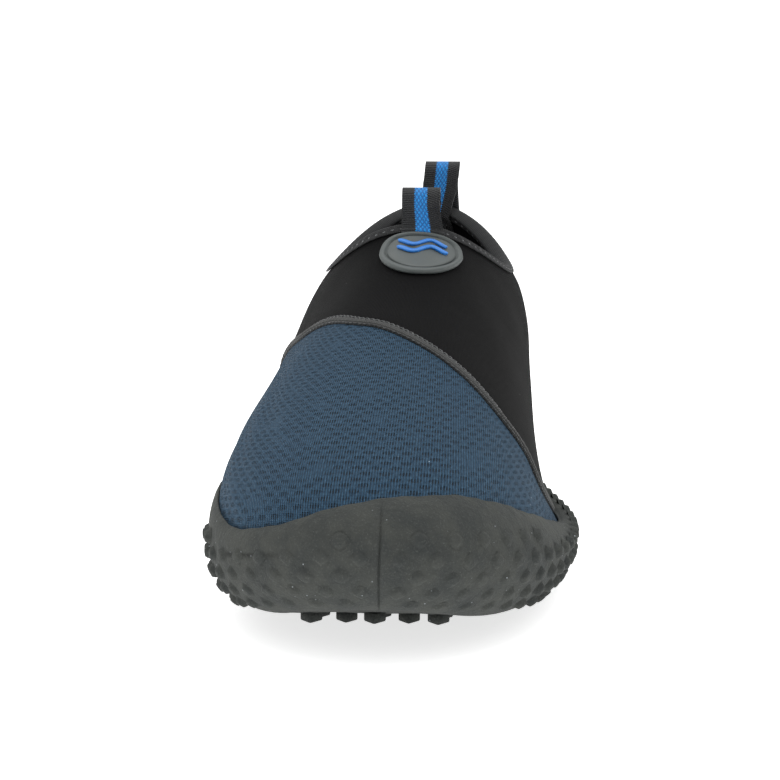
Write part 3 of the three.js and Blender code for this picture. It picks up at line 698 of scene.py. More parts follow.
def striped_webbing():
    """Woven polyester webbing: black ribs at both edges and a bright blue stripe down the middle."""
    material, tree, principled = start_material(
        "striped_webbing", "#15171a", 0.66, Sheen_Weight=0.06, Sheen_Roughness=0.4,
    )
    uv = add(tree, "ShaderNodeTexCoord").outputs["UV"]
    where = add(tree, "ShaderNodeSeparateXYZ", {
        "Vector": add(tree, "ShaderNodeMapping", {"Vector": uv, "Scale": repeats(1)}).outputs[0],
    })
    # Each ridge is one thread: picks across the webbing, ends along it, and two slanting sets.
    ridges = []
    for axis, pitch, turn, distortion in (("Y", (9, 0.72), 0, 0.2), ("X", (0.8, 9), 0, 0.2),
                                          ("X", (1.05,), 32, 0), ("X", (1.05,), -32, 0)):
        turned = add(tree, "ShaderNodeMapping", {
            "Vector": uv, "Rotation": (0, 0, math.radians(turn)),
        }).outputs[0]
        ridges.append(add(tree, "ShaderNodeTexWave", {
            "Vector": add(tree, "ShaderNodeMapping", {
                "Vector": turned, "Scale": repeats(*pitch),
            }).outputs[0],
            "Scale": RIDGE_SCALE, "Distortion": distortion, "Detail": 0, "Detail Scale": 1.5,
        }, bands_direction=axis).outputs["Fac"])
    picks, ends, left_slant, right_slant = ridges
    off_centre = add(tree, "ShaderNodeMath", {
        0: where.outputs["X"], 1: WEBBING_WIDTH / 2,
    }, operation="SUBTRACT").outputs[0]
    middle = add(tree, "ShaderNodeMath", {0: off_centre}, operation="ABSOLUTE").outputs[0]
    # The stripe's edges step in and out with each pick.
    teeth = add(tree, "ShaderNodeMath", {0: picks, 1: 0.35, 2: middle}, operation="MULTIPLY_ADD").outputs[0]
    stripe = add(tree, "ShaderNodeMapRange", {
        "Value": teeth, 1: WEBBING_WIDTH / 6 + 0.3, 2: WEBBING_WIDTH / 6 + 0.05,
    }, interpolation_type="SMOOTHSTEP").outputs[0]
    diamonds = add(tree, "ShaderNodeMath", {0: left_slant, 1: right_slant}, operation="MULTIPLY").outputs[0]
    lifted_ends = add(tree, "ShaderNodeMath", {0: ends, 1: 0.5, 2: 0.5}, operation="MULTIPLY_ADD").outputs[0]
    weave = add(tree, "ShaderNodeMath", {0: picks, 1: lifted_ends}, operation="MULTIPLY").outputs[0]
    # Painted highlight and shade: in the blue stripe and in the black, the raised threads are painted lighter and
    # the gaps between them darker.
    blue, black = [
        add(tree, "ShaderNodeMix", {
            "Factor": add(tree, "ShaderNodeMapRange", {
                "Value": value, 1: low, 2: high,
            }, interpolation_type="SMOOTHSTEP").outputs[0],
            6: colour(dark), 7: colour(light),
        }, data_type="RGBA").outputs[2]
        for value, low, high, dark, light in ((diamonds, 0.02, 0.4, "#0a5c9e", "#1a8ad6"),
                                              (weave, 0.05, 0.5, "#060708", "#191b1d"))
    ]
    base = add(tree, "ShaderNodeMix", {"Factor": stripe, 6: black, 7: blue}, data_type="RGBA").outputs[2]
    relief = add(tree, "ShaderNodeMix", {
        "Factor": stripe, 2: picks, 3: diamonds,
    }, data_type="FLOAT").outputs[0]
    finish_surface(tree, principled, base, [(relief, 0.22, 1), (ends, 0.06, 1)])
    return material


def moulded_pvc(name, base, shade, roughness):
    """Injection-moulded soft PVC: even and satin, with a fine moulded grain and a little dust."""
    material, tree, principled = start_material(
        name, base, roughness, Coat_Weight=0.06, Coat_Roughness=0.5,
    )
    place = add(tree, "ShaderNodeTexCoord").outputs["Object"]
    grain, patches = [
        add(tree, "ShaderNodeTexNoise", {
            "Vector": add(tree, "ShaderNodeMapping", {"Vector": place, "Scale": repeats(size)}).outputs[0],
            "Scale": 1, "Detail": 2, "Roughness": 0.5,
        }).outputs["Fac"]
        for size in (0.3, 5)
    ]
    cloud, dullness = [
        add(tree, "ShaderNodeMapRange", {
            "Value": patches, 1: 0.2, 2: 0.8, 3: lowest, 4: highest,
        }, interpolation_type="SMOOTHSTEP").outputs[0]
        for lowest, highest in ((0.4, 1), (roughness - 0.06, roughness + 0.08))
    ]
    share = add(tree, "ShaderNodeMath", {0: grain, 1: cloud}, operation="MULTIPLY").outputs[0]
    clouded = add(tree, "ShaderNodeMix", {
        "Factor": share, 6: colour(shade), 7: colour(base),
    }, data_type="RGBA").outputs[2]
    tree.links.new(dullness, principled.inputs["Roughness"])
    finish_surface(tree, principled, clouded, [(grain, 0.03, 1)])
    return material


def closed_cell_foam(name, dark, light):
    """Die-cut EVA foam: dull, with closed cells just large enough to see."""
    material, tree, principled = start_material(name, dark, 0.9)
    place = add(tree, "ShaderNodeTexCoord").outputs["Object"]
    cells = add(tree, "ShaderNodeTexVoronoi", {
        "Vector": add(tree, "ShaderNodeMapping", {"Vector": place, "Scale": repeats(0.5)}).outputs[0],
        "Scale": 1,
    }).outputs["Distance"]
    # Painted shade: the hollow of each cell is painted darker than the walls between cells.
    lit = add(tree, "ShaderNodeMapRange", {
        "Value": cells, 1: 0.1, 2: 0.6,
    }, interpolation_type="SMOOTHSTEP").outputs[0]
    base = add(tree, "ShaderNodeMix", {
        "Factor": lit, 6: colour(dark), 7: colour(light),
    }, data_type="RGBA").outputs[2]
    finish_surface(tree, principled, base, [(cells, 0.08, 1)])
    return material


def bonded_fibre_board():
    """Non-woven lasting board: pale bonded fibres, matte and slightly cloudy."""
    material, tree, principled = start_material("bonded_fibre_board", "#b9b4a6", 0.92)
    place = add(tree, "ShaderNodeTexCoord").outputs["Object"]
    fibres = add(tree, "ShaderNodeTexNoise", {
        "Vector": add(tree, "ShaderNodeMapping", {
            "Vector": place, "Scale": repeats(0.4, 2.5, 1),
        }).outputs[0],
        "Scale": 1, "Detail": 4, "Roughness": 0.75,
    }).outputs["Fac"]
    lit = add(tree, "ShaderNodeMapRange", {
        "Value": fibres, 1: 0.3, 2: 0.7,
    }, interpolation_type="SMOOTHSTEP").outputs[0]
    base = add(tree, "ShaderNodeMix", {
        "Factor": lit, 6: colour("#9f9a8c"), 7: colour("#c6c2b5"),
    }, data_type="RGBA").outputs[2]
    finish_surface(tree, principled, base, [(fibres, 0.08, 1)])
    return material


RUBBER = moulded_rubber()
MESH = warp_knit_mesh()
NEOPRENE = jersey_neoprene("neoprene_nylon_jersey", "#060607", "#0e0e0f", 0.04)
INSIDE = jersey_neoprene("neoprene_inner_jersey", "#070708", "#0f1011", 0.03, specks=False)
INSOLE = jersey_neoprene("insole_polyester_knit", "#15171a", "#2c3035", 0.3)
PIPING = woven_tape("folded_piping_tape", "#1e1f1f", "#4e4f4d", 0.75, 0.12)
BINDING = woven_tape("elastic_binding_tape", "#0e0f10", "#26282a", 0.6, 0.06)
HEEL_TAPE = woven_tape("woven_heel_tape", "#151617", "#333436", 0.8)
THREAD = twisted_thread("twisted_polyester_thread", "#17191a", "#3f4243")
PALE_THREAD = twisted_thread("spun_polyester_thread", "#a8a69f", "#dedcd5")
COLLAR_THREAD = twisted_thread("collar_polyester_thread", "#3a3c3e", "#5a5d5f")
WEBBING = striped_webbing()
BADGE = moulded_pvc("moulded_pvc_grey", "#525857", "#454b4a", 0.55)
BADGE_BLUE = moulded_pvc("moulded_pvc_blue", "#2f80d4", "#246fc0", 0.42)
LINING = closed_cell_foam("laminated_lining_foam", "#222427", "#34373b")
EVA = closed_cell_foam("eva_foam", "#26282a", "#3a3c3f")
BOARD = bonded_fibre_board()

# ---- Camera and light -------------------------------------------------------------------------

AIM = np.array([-0.706, -25, 59.298])
DISTANCE = 799.7
ELEVATION = math.radians(9.39)
AZIMUTH = math.radians(3.6)
LENS = 119.27
SENSOR = 36


def look_at(obj, place, aim):
    obj.location = Vector(place_mm(place))
    obj.rotation_euler = Vector(place_mm(aim) - place_mm(place)).to_track_quat("-Z", "Y").to_euler()
    bpy.context.scene.collection.objects.link(obj)


def softbox(name, place, aim, size, watts, shade="#ffffff"):
    """A square area light, standing at place and facing aim, in millimetres."""
    data = bpy.data.lights.new(name, "AREA")
    data.size = size * MM
    data.energy = watts
    data.color = colour(shade)[:3]
    look_at(bpy.data.objects.new(name, data), np.array(place, float), np.array(aim, float))


def make_camera():
    data = bpy.data.cameras.new("camera")
    data.lens = LENS
    data.sensor_width = SENSOR
    data.clip_end = 20
    camera = bpy.data.objects.new("camera", data)
    back = np.array([
        math.sin(AZIMUTH) * math.cos(ELEVATION),
        -math.cos(AZIMUTH) * math.cos(ELEVATION),
        math.sin(ELEVATION),
    ])
    look_at(camera, AIM + DISTANCE * back, AIM)
    bpy.context.scene.camera = camera


FLOOR_REACH = 15
FRONT_GLOW = 0.2
BACK_GLOW = 0.6
TOP_GLOW = 0.8
LEFT_GLOW = 0.2


def make_studio():
    """A pale floor, lit from inside as a light table is, a glowing surround and a soft top light."""
    made = bmesh.new()
    bmesh.ops.create_grid(made, x_segments=1, y_segments=1, size=FLOOR_REACH)
    mesh = bpy.data.meshes.new("floor")
    made.to_mesh(mesh)
    made.free()
    floor = bpy.data.objects.new("floor", mesh)
    floor.location.z = ORIGIN[2] - 0.1 * MM
    acrylic, tree, principled = start_material(
        "backlit_acrylic_table", "#fbfbfb", 0.9, Emission_Strength=0.7, Emission_Color=colour("#ffffff"),
    )
    place = add(tree, "ShaderNodeTexCoord").outputs["Object"]
    cloud = add(tree, "ShaderNodeTexNoise", {
        "Vector": add(tree, "ShaderNodeMapping", {"Vector": place, "Scale": repeats(4)}).outputs[0],
        "Scale": 1, "Detail": 2, "Roughness": 0.5,
    }).outputs["Fac"]
    shade = add(tree, "ShaderNodeMix", {
        "Factor": cloud, 6: colour("#f6f6f6"), 7: colour("#ffffff"),
    }, data_type="RGBA").outputs[2]
    tree.links.new(shade, principled.inputs["Base Color"])
    mesh.materials.append(acrylic)
    bpy.context.scene.collection.objects.link(floor)
    world = bpy.data.worlds.new("studio")
    world.use_nodes = True
    tree = world.node_tree
    sky = add(tree, "ShaderNodeTexCoord").outputs["Generated"]
    toward = add(tree, "ShaderNodeSeparateXYZ", {"Vector": sky})
    glow = 0
    for axis, low, high, dim, bright in (
        ("Y", -0.3, 0.9, FRONT_GLOW, BACK_GLOW),
        ("Z", 0.15, 0.9, 0, TOP_GLOW),
        ("X", -0.3, -0.9, 0, LEFT_GLOW),
    ):
        side = add(tree, "ShaderNodeMapRange", {
            "Value": toward.outputs[axis], 1: low, 2: high, 3: dim, 4: bright,
        }, interpolation_type="SMOOTHSTEP").outputs[0]
        glow = add(tree, "ShaderNodeMath", {0: glow, 1: side}, operation="ADD").outputs[0]
    background = tree.nodes["Background"]
    background.inputs["Color"].default_value = colour("#ffffff")
    tree.links.new(glow, background.inputs["Strength"])
    bpy.context.scene.world = world
    bpy.context.scene.view_settings.view_transform = "Standard"
    softbox("top_light", (0, -100, 900), (0, -20, 40), 800, 4)


make_camera()
make_studio()

# ---- Sole unit --------------------------------------------------------------------------------

SOLE_STEP = 1.25
CREASE_ANGLE = 2.6
CREASE_DEPTH = 0.55
CREASE_WIDTH = 0.22
LIP_THINNING = 1.15
STUD_LENGTH = 4.9
STUD_WIDTH = 4.3
STUD_PITCH = 10.2
STUD_ROWS = (-5.2, 0.8, 6.2, 11.6, 17.0)
STUD_HEIGHT_FRONT = 0.75
STUD_HEIGHT_SIDE = 1.75


def even_angles(step, start=-180, end=180, finer=()):
    """Angles about step millimetres apart along the feather line, with extra ones added."""
    fine = np.linspace(start, end, 2000)
    run = arc_lengths(feather_plan(np.radians(fine)), 0)
    count = round(run[-1] / step)
    angles = np.interp(np.linspace(0, run[-1], count + 1), run, fine)
    if len(finer):
        clear = np.min(np.abs(angles[:, None] - np.array(finer)), axis=1) > 0.35 * step
        clear[[0, -1]] = True
        angles = np.unique(np.concatenate([angles[clear], finer]))
    return angles


def crease_scale():
    """Millimetres along the feather line for each degree at the crease."""
    ends = feather_plan(np.radians([CREASE_ANGLE, CREASE_ANGLE + 1]))
    return np.linalg.norm(np.diff(ends, axis=0))


def crease_angles():
    """Angles close together across the mould's parting crease at the toe."""
    across = np.array([-1.3, -0.8, -0.45, -0.25, -0.1, 0, 0.1, 0.25, 0.45, 0.8, 1.3])
    return CREASE_ANGLE + across / crease_scale()


def crease(degrees, down):
    """How far the wall is pressed in at the crease, down being 0 at the lip and 1 at the tread."""
    across = (degrees - CREASE_ANGLE - 0.12 * np.sin(9 * down)) * crease_scale()
    depth = CREASE_DEPTH * (0.35 + 0.65 * smooth(down * 4)) * (1 - 0.6 * smooth((down - 0.7) * 4))
    banks = 0.3 * np.exp(-((np.abs(across) - 0.75) / 0.35) ** 2)
    return depth * (banks - np.exp(-(across / CREASE_WIDTH) ** 2))


def sole_shell():
    """The rubber unit as one closed skin, from the tread's middle out, up and over, and back in."""
    angles = even_angles(SOLE_STEP, finer=crease_angles())
    lip = rubber_height(angles)
    lip = lip + 0.0016 * np.sin(np.radians(angles) * 23) + 0.001 * np.sin(np.radians(angles) * 61)
    edge = sole_outside(angles, np.ones_like(angles))
    rows = []
    for share in (0, 0.25, 0.5, 0.75, 0.94):
        point = edge * share
        point[:, 2] = TREAD_DEPTH + rise(point[:, 1])
        rows.append(point)
    for share in np.linspace(1, 0, 17):
        press = crease(angles, 0.35 + 0.65 * share)
        rows.append(sole_outside(angles, share * np.ones_like(angles), press))
    for share in np.linspace(0, 1, 9)[1:-1]:
        press = crease(angles, 0.35 * (1 - share))
        thickness = mix(SOLE_FLARE, SOLE_LIP, share) - LIP_THINNING * share**4
        rows.append(skin(angles, lip * share, thickness + press))
    # The lip's top edge is rounded over, from the wall's outer face to its inner one.
    half = (SOLE_LIP - LIP_THINNING - CLEARANCE) / 2
    for turn in np.linspace(0, np.pi, 7):
        height = lip + (0.9 * half * np.sin(turn) - 0.9 * half) / 75
        rows.append(skin(angles, height, CLEARANCE + half * (1 + np.cos(turn))))
    for share in (0.66, 0.33, 0.01):
        rows.append(skin(angles, lip * share, CLEARANCE))
    for height in (-0.01, -0.3, -0.6, -0.85, -1):
        rows.append(skin(angles, height * np.ones_like(angles), CLEARANCE))
    inner = rows[-1]
    for share in (0.8, 0.4, 0):
        point = inner * share
        point[:, 2] = board_height(point[:, 1]) - CLEARANCE
        rows.append(point)
    return loft(np.array(rows), ring=True)


def stud_mesh(height):
    """A low rounded diamond, flat on top, whose foot spreads into the wall."""
    angles = np.linspace(0, 2 * np.pi, 13)
    c, s = np.cos(angles), np.sin(angles)
    reach = 1 / (np.abs(c) ** 1.35 + np.abs(s) ** 1.35) ** (1 / 1.35)
    rows = []
    for share, lift in ((1.2, -0.12), (1.02, 0.1), (0.86, 0.55), (0.66, 0.92), (0.36, 1), (0, 1.02)):
        rows.append(np.stack([
            STUD_LENGTH / 2 * share * reach * c, STUD_WIDTH / 2 * share * reach * s, 0 * c + lift * height,
        ], -1))
    mesh = loft(np.array(rows), ring=True)
    mesh.transform(Matrix.Translation(-Vector(ORIGIN)))
    return mesh


def wall_run(degrees):
    """Points down one column of the wall, from 12 mm above the feather line to the tread's edge."""
    flare = mix(SOLE_LIP, SOLE_FLARE, np.linspace(0, 1, 40))
    above = skin(np.full(40, degrees), np.linspace(0.16, 0.0005, 40), flare)
    below = sole_outside(np.full(60, degrees), np.linspace(0, 1, 60))
    points = np.vstack([above, below[1:]])
    run = arc_lengths(points, 0)
    return points, run - run[39]


def sole_studs():
    """Staggered rows of studs round the wall, at even spacing along the feather line."""
    fine = np.linspace(-180, 180, 4000)
    run = arc_lengths(sole_outside(fine, 0.3 * np.ones_like(fine)), 0)
    count = round(run[-1] / STUD_PITCH)
    groups = {}
    for row, down in enumerate(STUD_ROWS):
        for index in range(count):
            degrees = float(np.interp((index + 0.5 * (row % 2)) * run[-1] / count, run, fine))
            lip = rubber_height(degrees)
            lip_rise = np.linalg.norm(skin(degrees, lip, 0.0) - skin(degrees, 0.0001, 0.0))
            if down < 0 and lip_rise + down < 6.5:
                continue
            if abs(degrees - CREASE_ANGLE) < 2.2:
                continue
            points, length = wall_run(degrees)
            if down > length[-1] - 1.5:
                continue
            at = np.array([np.interp(down, length, points[:, k]) for k in range(3)])
            ahead = np.array([np.interp(down + 0.2, length, points[:, k]) for k in range(3)])
            side, _ = wall_run(degrees + 0.2)
            beside = np.array([np.interp(down, arc_lengths(side, 0) - arc_lengths(side, 0)[39], side[:, k])
                               for k in range(3)])
            along = unit(beside - at)
            out = unit(np.cross(along, unit(at - ahead)))
            share = smooth((abs(degrees) - 18) / 35)
            height = round(float(mix(STUD_HEIGHT_FRONT, STUD_HEIGHT_SIDE, share)) * 4) / 4
            groups.setdefault(height, []).append((at, along, out))
    meshes = []
    for height, found in groups.items():
        at, along, out = (np.array(column) for column in zip(*found))
        meshes.append(copies(stud_mesh(height), frames_on(at, along, out)))
    return meshes


def lug_mesh():
    """A diamond ground lug with a rounded edge, its foot inside the tread."""
    made = bmesh.new()
    bmesh.ops.create_circle(made, cap_ends=True, segments=4, radius=0.5 * MM)
    bmesh.ops.scale(made, verts=made.verts, vec=(LUG_WIDTH, LUG_LENGTH, 1))
    bmesh.ops.bevel(made, geom=made.verts[:], offset=1.1 * MM, segments=3, profile=0.5, affect="VERTICES")
    lifted = bmesh.ops.extrude_face_region(made, geom=made.faces[:])
    top = [item for item in lifted["geom"] if isinstance(item, bmesh.types.BMVert)]
    bmesh.ops.translate(made, verts=top, vec=(0, 0, (TREAD_DEPTH + 1) * MM))
    bmesh.ops.recalc_face_normals(made, faces=made.faces)
    rim = [edge for edge in made.edges if all(v.co.z < 0.0001 * MM for v in edge.verts)]
    bmesh.ops.bevel(made, geom=rim, offset=0.45 * MM, segments=2, profile=0.5, affect="EDGES", material=-1)
    mesh = bpy.data.meshes.new("lug")
    made.to_mesh(mesh)
    made.free()
    return mesh


def ground_lugs():
    """Rows of diamond lugs inside the tread's edge, as the solids have them."""
    outline = sole_outside(np.linspace(-180, 180, 60), np.ones(60))
    rows = LAST_LENGTH // 2 // LUG_PITCH_ALONG
    across = int(LAST_WIDTH / 2 // LUG_PITCH_ACROSS)
    matrices = []
    for row in range(-rows, rows + 1):
        stagger = 0 if row % 2 == 0 else LUG_PITCH_ACROSS / 2
        for step in range(-across, across + 1):
            x = step * LUG_PITCH_ACROSS + stagger
            y = row * LUG_PITCH_ALONG
            ahead = np.roll(outline, -1, axis=0)
            crosses = (outline[:, 1] > y) != (ahead[:, 1] > y)
            slope = (ahead[:, 0] - outline[:, 0]) / np.where(crosses, ahead[:, 1] - outline[:, 1], 1)
            inside = np.sum(crosses & (x < slope * (y - outline[:, 1]) + outline[:, 0])) % 2
            nearest = np.min(np.hypot(outline[:, 0] - x, outline[:, 1] - y))
            if inside and nearest > LUG_EDGE_MARGIN:
                matrices.append(Matrix.Translation(Vector(place_mm([x, y, rise(y)]))))
    return copies(lug_mesh(), matrices)


def make_sole():
    shell = sole_shell()
    meshes = [shell, *sole_studs(), ground_lugs()]
    piece("outsole_rubber", meshes, [RUBBER], replaces=["outsole"], closed=True)


# ---- Upper ------------------------------------------------------------------------------------

CLOTH_STEP = 1.6
SEAM_REACH = 100


def soft_relief(degrees, height):
    """Shallow unevenness of stretched cloth, in millimetres."""
    a = np.radians(degrees)
    waves = np.sin(5 * a + 7 * height)
    waves = waves + 0.7 * np.sin(9 * a - 11 * height + 1)
    waves = waves + 0.5 * np.sin(14 * a + 17 * height)
    return 0.13 * waves


def pull_folds(degrees, height):
    """Faint slanting folds where the mesh is pulled round the outer side of the toe."""
    there = smooth((-degrees - 14) / 22) * smooth((95 + degrees) / 25) * smooth(height / 0.12)
    there = there * smooth((0.62 - height) / 0.25)
    return 0.2 * there * np.sin(np.radians(degrees) * 26 + height * 34)


def seam_dip(distance):
    """Cloth turns down where it meets a seam: distance is in millimetres from the seam."""
    return -0.55 * np.exp(-np.maximum(distance, 0) / 1.1)


def rows_between(low, high, count, start_dense=False, end_dense=False):
    """Rows of heights from low to high for each column, closer together at the named ends."""
    share = np.linspace(0, 1, count)
    if start_dense and end_dense:
        share = (1 - np.cos(np.pi * share)) / 2
    elif end_dense:
        share = 1 - (1 - share) ** 1.6
    elif start_dense:
        share = share**1.6
    return low + (high - low) * share[:, None]


def half_seam(height):
    """Half the seam's gap as a share of height: the wall is short below the feather line."""
    return SEAM_GAP / np.where(height > 0, 120, 8)


def toe_sheet(outer):
    """The toe's cloth from under the foot up to the vamp seam, at an offset from the last."""
    angles = even_angles(CLOTH_STEP, SEAM_OUTER_END, SEAM_INNER_END)
    seam = seam_height(angles)
    top = np.maximum(seam - half_seam(seam), -0.98)
    under = np.minimum(0, top)
    hidden = rows_between(np.full_like(top, -1.0), under, 8)[:-1]
    shown = rows_between(under, top, 64, end_dense=True)
    heights = np.vstack([hidden, shown])
    degrees = np.broadcast_to(angles, heights.shape)
    from_seam = (top - heights) * SEAM_REACH
    offset = outer + (soft_relief(degrees, heights) + pull_folds(degrees, heights)) * smooth(from_seam / 8)
    offset = np.where(heights > 0, mix(outer, offset, smooth(heights / 0.1)), outer)
    return skin(degrees, heights, offset + seam_dip(from_seam) * (heights > 0))


def upper_sheet():
    """The neoprene from the seam, or from under the foot, up to the collar."""
    angles = even_angles(CLOTH_STEP, finer=HEEL_ANGLE + np.array([-0.9, -0.45, 0, 0.45, 0.9]))
    in_seam = (angles >= SEAM_OUTER_END) & (angles <= SEAM_INNER_END)
    seam = seam_height(angles)
    low = np.where(in_seam, np.maximum(seam + half_seam(seam), -1), -1.0)
    over = np.maximum(0.0, low)
    hidden = rows_between(low, over, 8)[:-1]
    shown = rows_between(over, np.ones_like(over), 70, start_dense=True)
    heights = np.vstack([hidden, shown])
    degrees = np.broadcast_to(angles, heights.shape)
    from_seam = (heights - low) * SEAM_REACH
    edge = smooth(np.minimum(from_seam / 8, (1 - heights) * 10))
    offset = soft_relief(degrees, heights) * edge * (heights > 0)
    heel = degrees - HEEL_ANGLE
    offset = offset - 0.45 * np.exp(-(heel / 0.5) ** 2) * (heights > 0)
    dip = np.where(in_seam, seam_dip(from_seam), 0)
    return skin(degrees, heights, offset + dip * (heights > 0))


def make_upper():
    toe = piece("toe_mesh", [loft(toe_sheet(0))], [MESH, LINING], replaces=["toe_panel"])
    thicken(toe, MESH_THICKNESS, inner=1)
    lining = piece("toe_foam_lining", [loft(toe_sheet(-MESH_THICKNESS - CLEARANCE))], [LINING],
                   replaces=["toe_lining"])
    thicken(lining, UPPER_THICKNESS - MESH_THICKNESS - CLEARANCE)
    upper = piece("neoprene_shell", [loft(upper_sheet(), ring=True)], [NEOPRENE, INSIDE],
                  replaces=["neoprene_upper"])
    thicken(upper, UPPER_THICKNESS, inner=1)


# ---- Vamp seam --------------------------------------------------------------------------------

PIPING_WIDTH = 2.6
PIPING_HEIGHT = 1.0
SEAM_ABOVE_RUBBER = -0.015


def seam_line(side, offset, step=0.6):
    """Points and outward directions along the vamp seam, shifted up across it by side."""
    angles = even_angles(step, SEAM_OUTER_END, SEAM_INNER_END)
    angles = angles[seam_height(angles) > rubber_height(angles) + SEAM_ABOVE_RUBBER]
    heights = seam_height(angles)
    points = skin(angles, heights, 0.0)
    out = upper_normal(np.radians(angles), heights)
    along = unit(np.gradient(points, axis=0))
    across = unit(np.cross(out, along))
    return points + across * side + out * offset, out, along, across


def arch(width, height, count=9, base=0.0, power=0.6):
    """A low rounded section from one edge to the other."""
    sides = np.linspace(-1, 1, count)
    return [(width / 2 * s, base + height * (1 - abs(s) ** 2.4) ** power) for s in sides]


def make_vamp_seam():
    centre, out, _, across = seam_line(0, 0)
    run = arc_lengths(centre, 0)[:, None]
    # The tape swells a little between one stitch and the next.
    swell = 1 + 0.05 * np.sin(run * 2 * np.pi / 2.3)
    section = arch(PIPING_WIDTH, PIPING_HEIGHT - 0.15, base=CLEARANCE - 0.2)
    under = [(PIPING_WIDTH / 2, -0.4), (0, -0.5), (-PIPING_WIDTH / 2, -0.4)]
    rows = []
    for side, lift in [*section, *under, section[0]]:
        rows.append(centre + across * side * swell + out * lift * swell)
    tape = piece("vamp_piping_tape", [loft(np.array(rows), tube=True)], [PIPING], replaces=["vamp_piping"],
                 closed=True)
    cap_ends(tape)
    upper, out, _, _ = seam_line(PIPING_WIDTH / 2 + 1.0, 0.15)
    rows = [
        stitches_along(upper, out, 1.15, 1.75, 0.62, 0.75, turn=34),
        stitches_along(upper - across * 0.5, out, 1.15, 1.2, 0.4, 0.5, turn=-20),
    ]
    piece("vamp_overlock_stitching", rows, [THREAD], replaces=["vamp_stitching_upper"])
    lower, out, _, _ = seam_line(-PIPING_WIDTH / 2 + 0.15, 0.38)
    piece("vamp_edge_stitching", [stitches_along(lower, out, 2.3, 1.5, 0.4, 0.34)], [THREAD],
          replaces=["vamp_stitching_lower"])


def cap_ends(obj):
    """Closes the open ends of a tube."""
    made = bmesh.new()
    made.from_mesh(obj.data)
    open_edges = [edge for edge in made.edges if edge.is_boundary]
    bmesh.ops.holes_fill(made, edges=open_edges, sides=0)
    bmesh.ops.recalc_face_normals(made, faces=made.faces)
    made.to_mesh(obj.data)
    made.free()
    obj.data.shade_smooth()


# ---- Collar -----------------------------------------------------------------------------------

COLLAR_STITCH_PITCH = 3.2


def collar_frame(degrees):
    """The collar's edge, the way up along the cloth there, and the way out."""
    a = np.radians(degrees)
    edge = upper_face(a, np.ones_like(a))
    up = unit(edge - upper_face(a, np.full_like(a, 0.99)))
    out = upper_normal(a, np.full_like(a, 0.999))
    return edge, up, out


def collar_angles(step):
    fine = np.linspace(-180, 180, 3000)
    edge, _, _ = collar_frame(fine)
    run = arc_lengths(edge, 0)
    count = round(run[-1] / step)
    return np.interp(np.linspace(0, run[-1], count + 1), run, fine), run[-1]


def make_collar():
    angles, total = collar_angles(0.42)
    edge, up, out = collar_frame(angles)
    run = arc_lengths(edge, 0)
    count = round(total / COLLAR_STITCH_PITCH)
    phase = run / total * count * 2 * np.pi
    # Each stitch draws the tape in, so it puffs out between two stitches.
    pucker = 0.5 - 0.5 * np.cos(phase)
    middle = -UPPER_THICKNESS / 2
    half = UPPER_THICKNESS / 2 + CLEARANCE + BINDING_THICKNESS
    rows = []
    for side in (1, -1):
        for down in (BINDING_DEPTH, BINDING_DEPTH - 0.35, 0.65 * BINDING_DEPTH, 0.5 * BINDING_DEPTH,
                     0.35 * BINDING_DEPTH, 0.1):
            drawn = 0.22 * np.exp(-((down - BINDING_DEPTH / 2) / 0.6) ** 2) * (1 - pucker)
            reach = half - drawn - (0.3 if down == BINDING_DEPTH else 0) + 0.06 * pucker
            rows.append(edge - up * down + out * (middle + side * reach)[:, None])
        turns = np.linspace(0.1, np.pi / 2, 5)
        if side > 0:
            for turn in turns:
                lift = (CLEARANCE + BINDING_THICKNESS - 0.05 + 0.06 * pucker) * np.sin(turn)
                rows.append(edge + up * lift[:, None] + out * (middle + half * math.cos(turn)))
            outer = rows
            rows = []
    inner = rows
    for turn in np.linspace(0.1, np.pi / 2, 5)[:-1]:
        lift = (CLEARANCE + BINDING_THICKNESS - 0.05 + 0.06 * pucker) * np.sin(turn)
        inner.append(edge + up * lift[:, None] + out * (middle - half * math.cos(turn)))
    points = np.array([*outer, *inner[::-1]])
    tape = piece("collar_binding_tape", [loft(points, ring=True)], [BINDING], replaces=["collar_binding"])
    thicken(tape, 0.45)
    rows = []
    for side, reach in ((1, half - 0.1), (-1, half - 0.1)):
        line = edge - up * (BINDING_DEPTH / 2) + out * (middle + side * reach)
        rows.append(stitches_along(line, out * side, COLLAR_STITCH_PITCH, 1.25, 0.5, 0.42))
    piece("collar_lock_stitching", rows, [COLLAR_THREAD], replaces=["collar_stitching"])


# ---- Heel seam, insole and hidden layers ------------------------------------------------------


def make_heel_seam():
    top = 0.955
    heights = np.linspace(0.04, top, 60)
    angles = np.linspace(HEEL_ANGLE - 6.5, HEEL_ANGLE + 6.5, 13)
    depth = -UPPER_THICKNESS - CLEARANCE
    grid_angles, grid_heights = np.meshgrid(angles, heights)
    points = skin(grid_angles, grid_heights, depth + 0 * grid_angles)
    tape = piece("heel_seam_tape_woven", [loft(points)], [HEEL_TAPE], replaces=["heel_seam_tape"])
    thicken(tape, HEEL_TAPE_THICKNESS)
    rows = []
    for shift in (-3.2, 0, 3.2):
        line = skin(np.full(60, HEEL_ANGLE + shift), heights, depth - HEEL_TAPE_THICKNESS - 0.08)
        out = -upper_normal(np.radians(np.full(60, HEEL_ANGLE + shift)), heights)
        turn = 55 if shift == 0 else 0
        rows.append(stitches_along(line, out, 1.5 if shift == 0 else 2.4, 1.7, 0.45, 0.4, turn=turn))
    piece("heel_zigzag_stitching", rows, [THREAD], replaces=["heel_seam_stitching"])


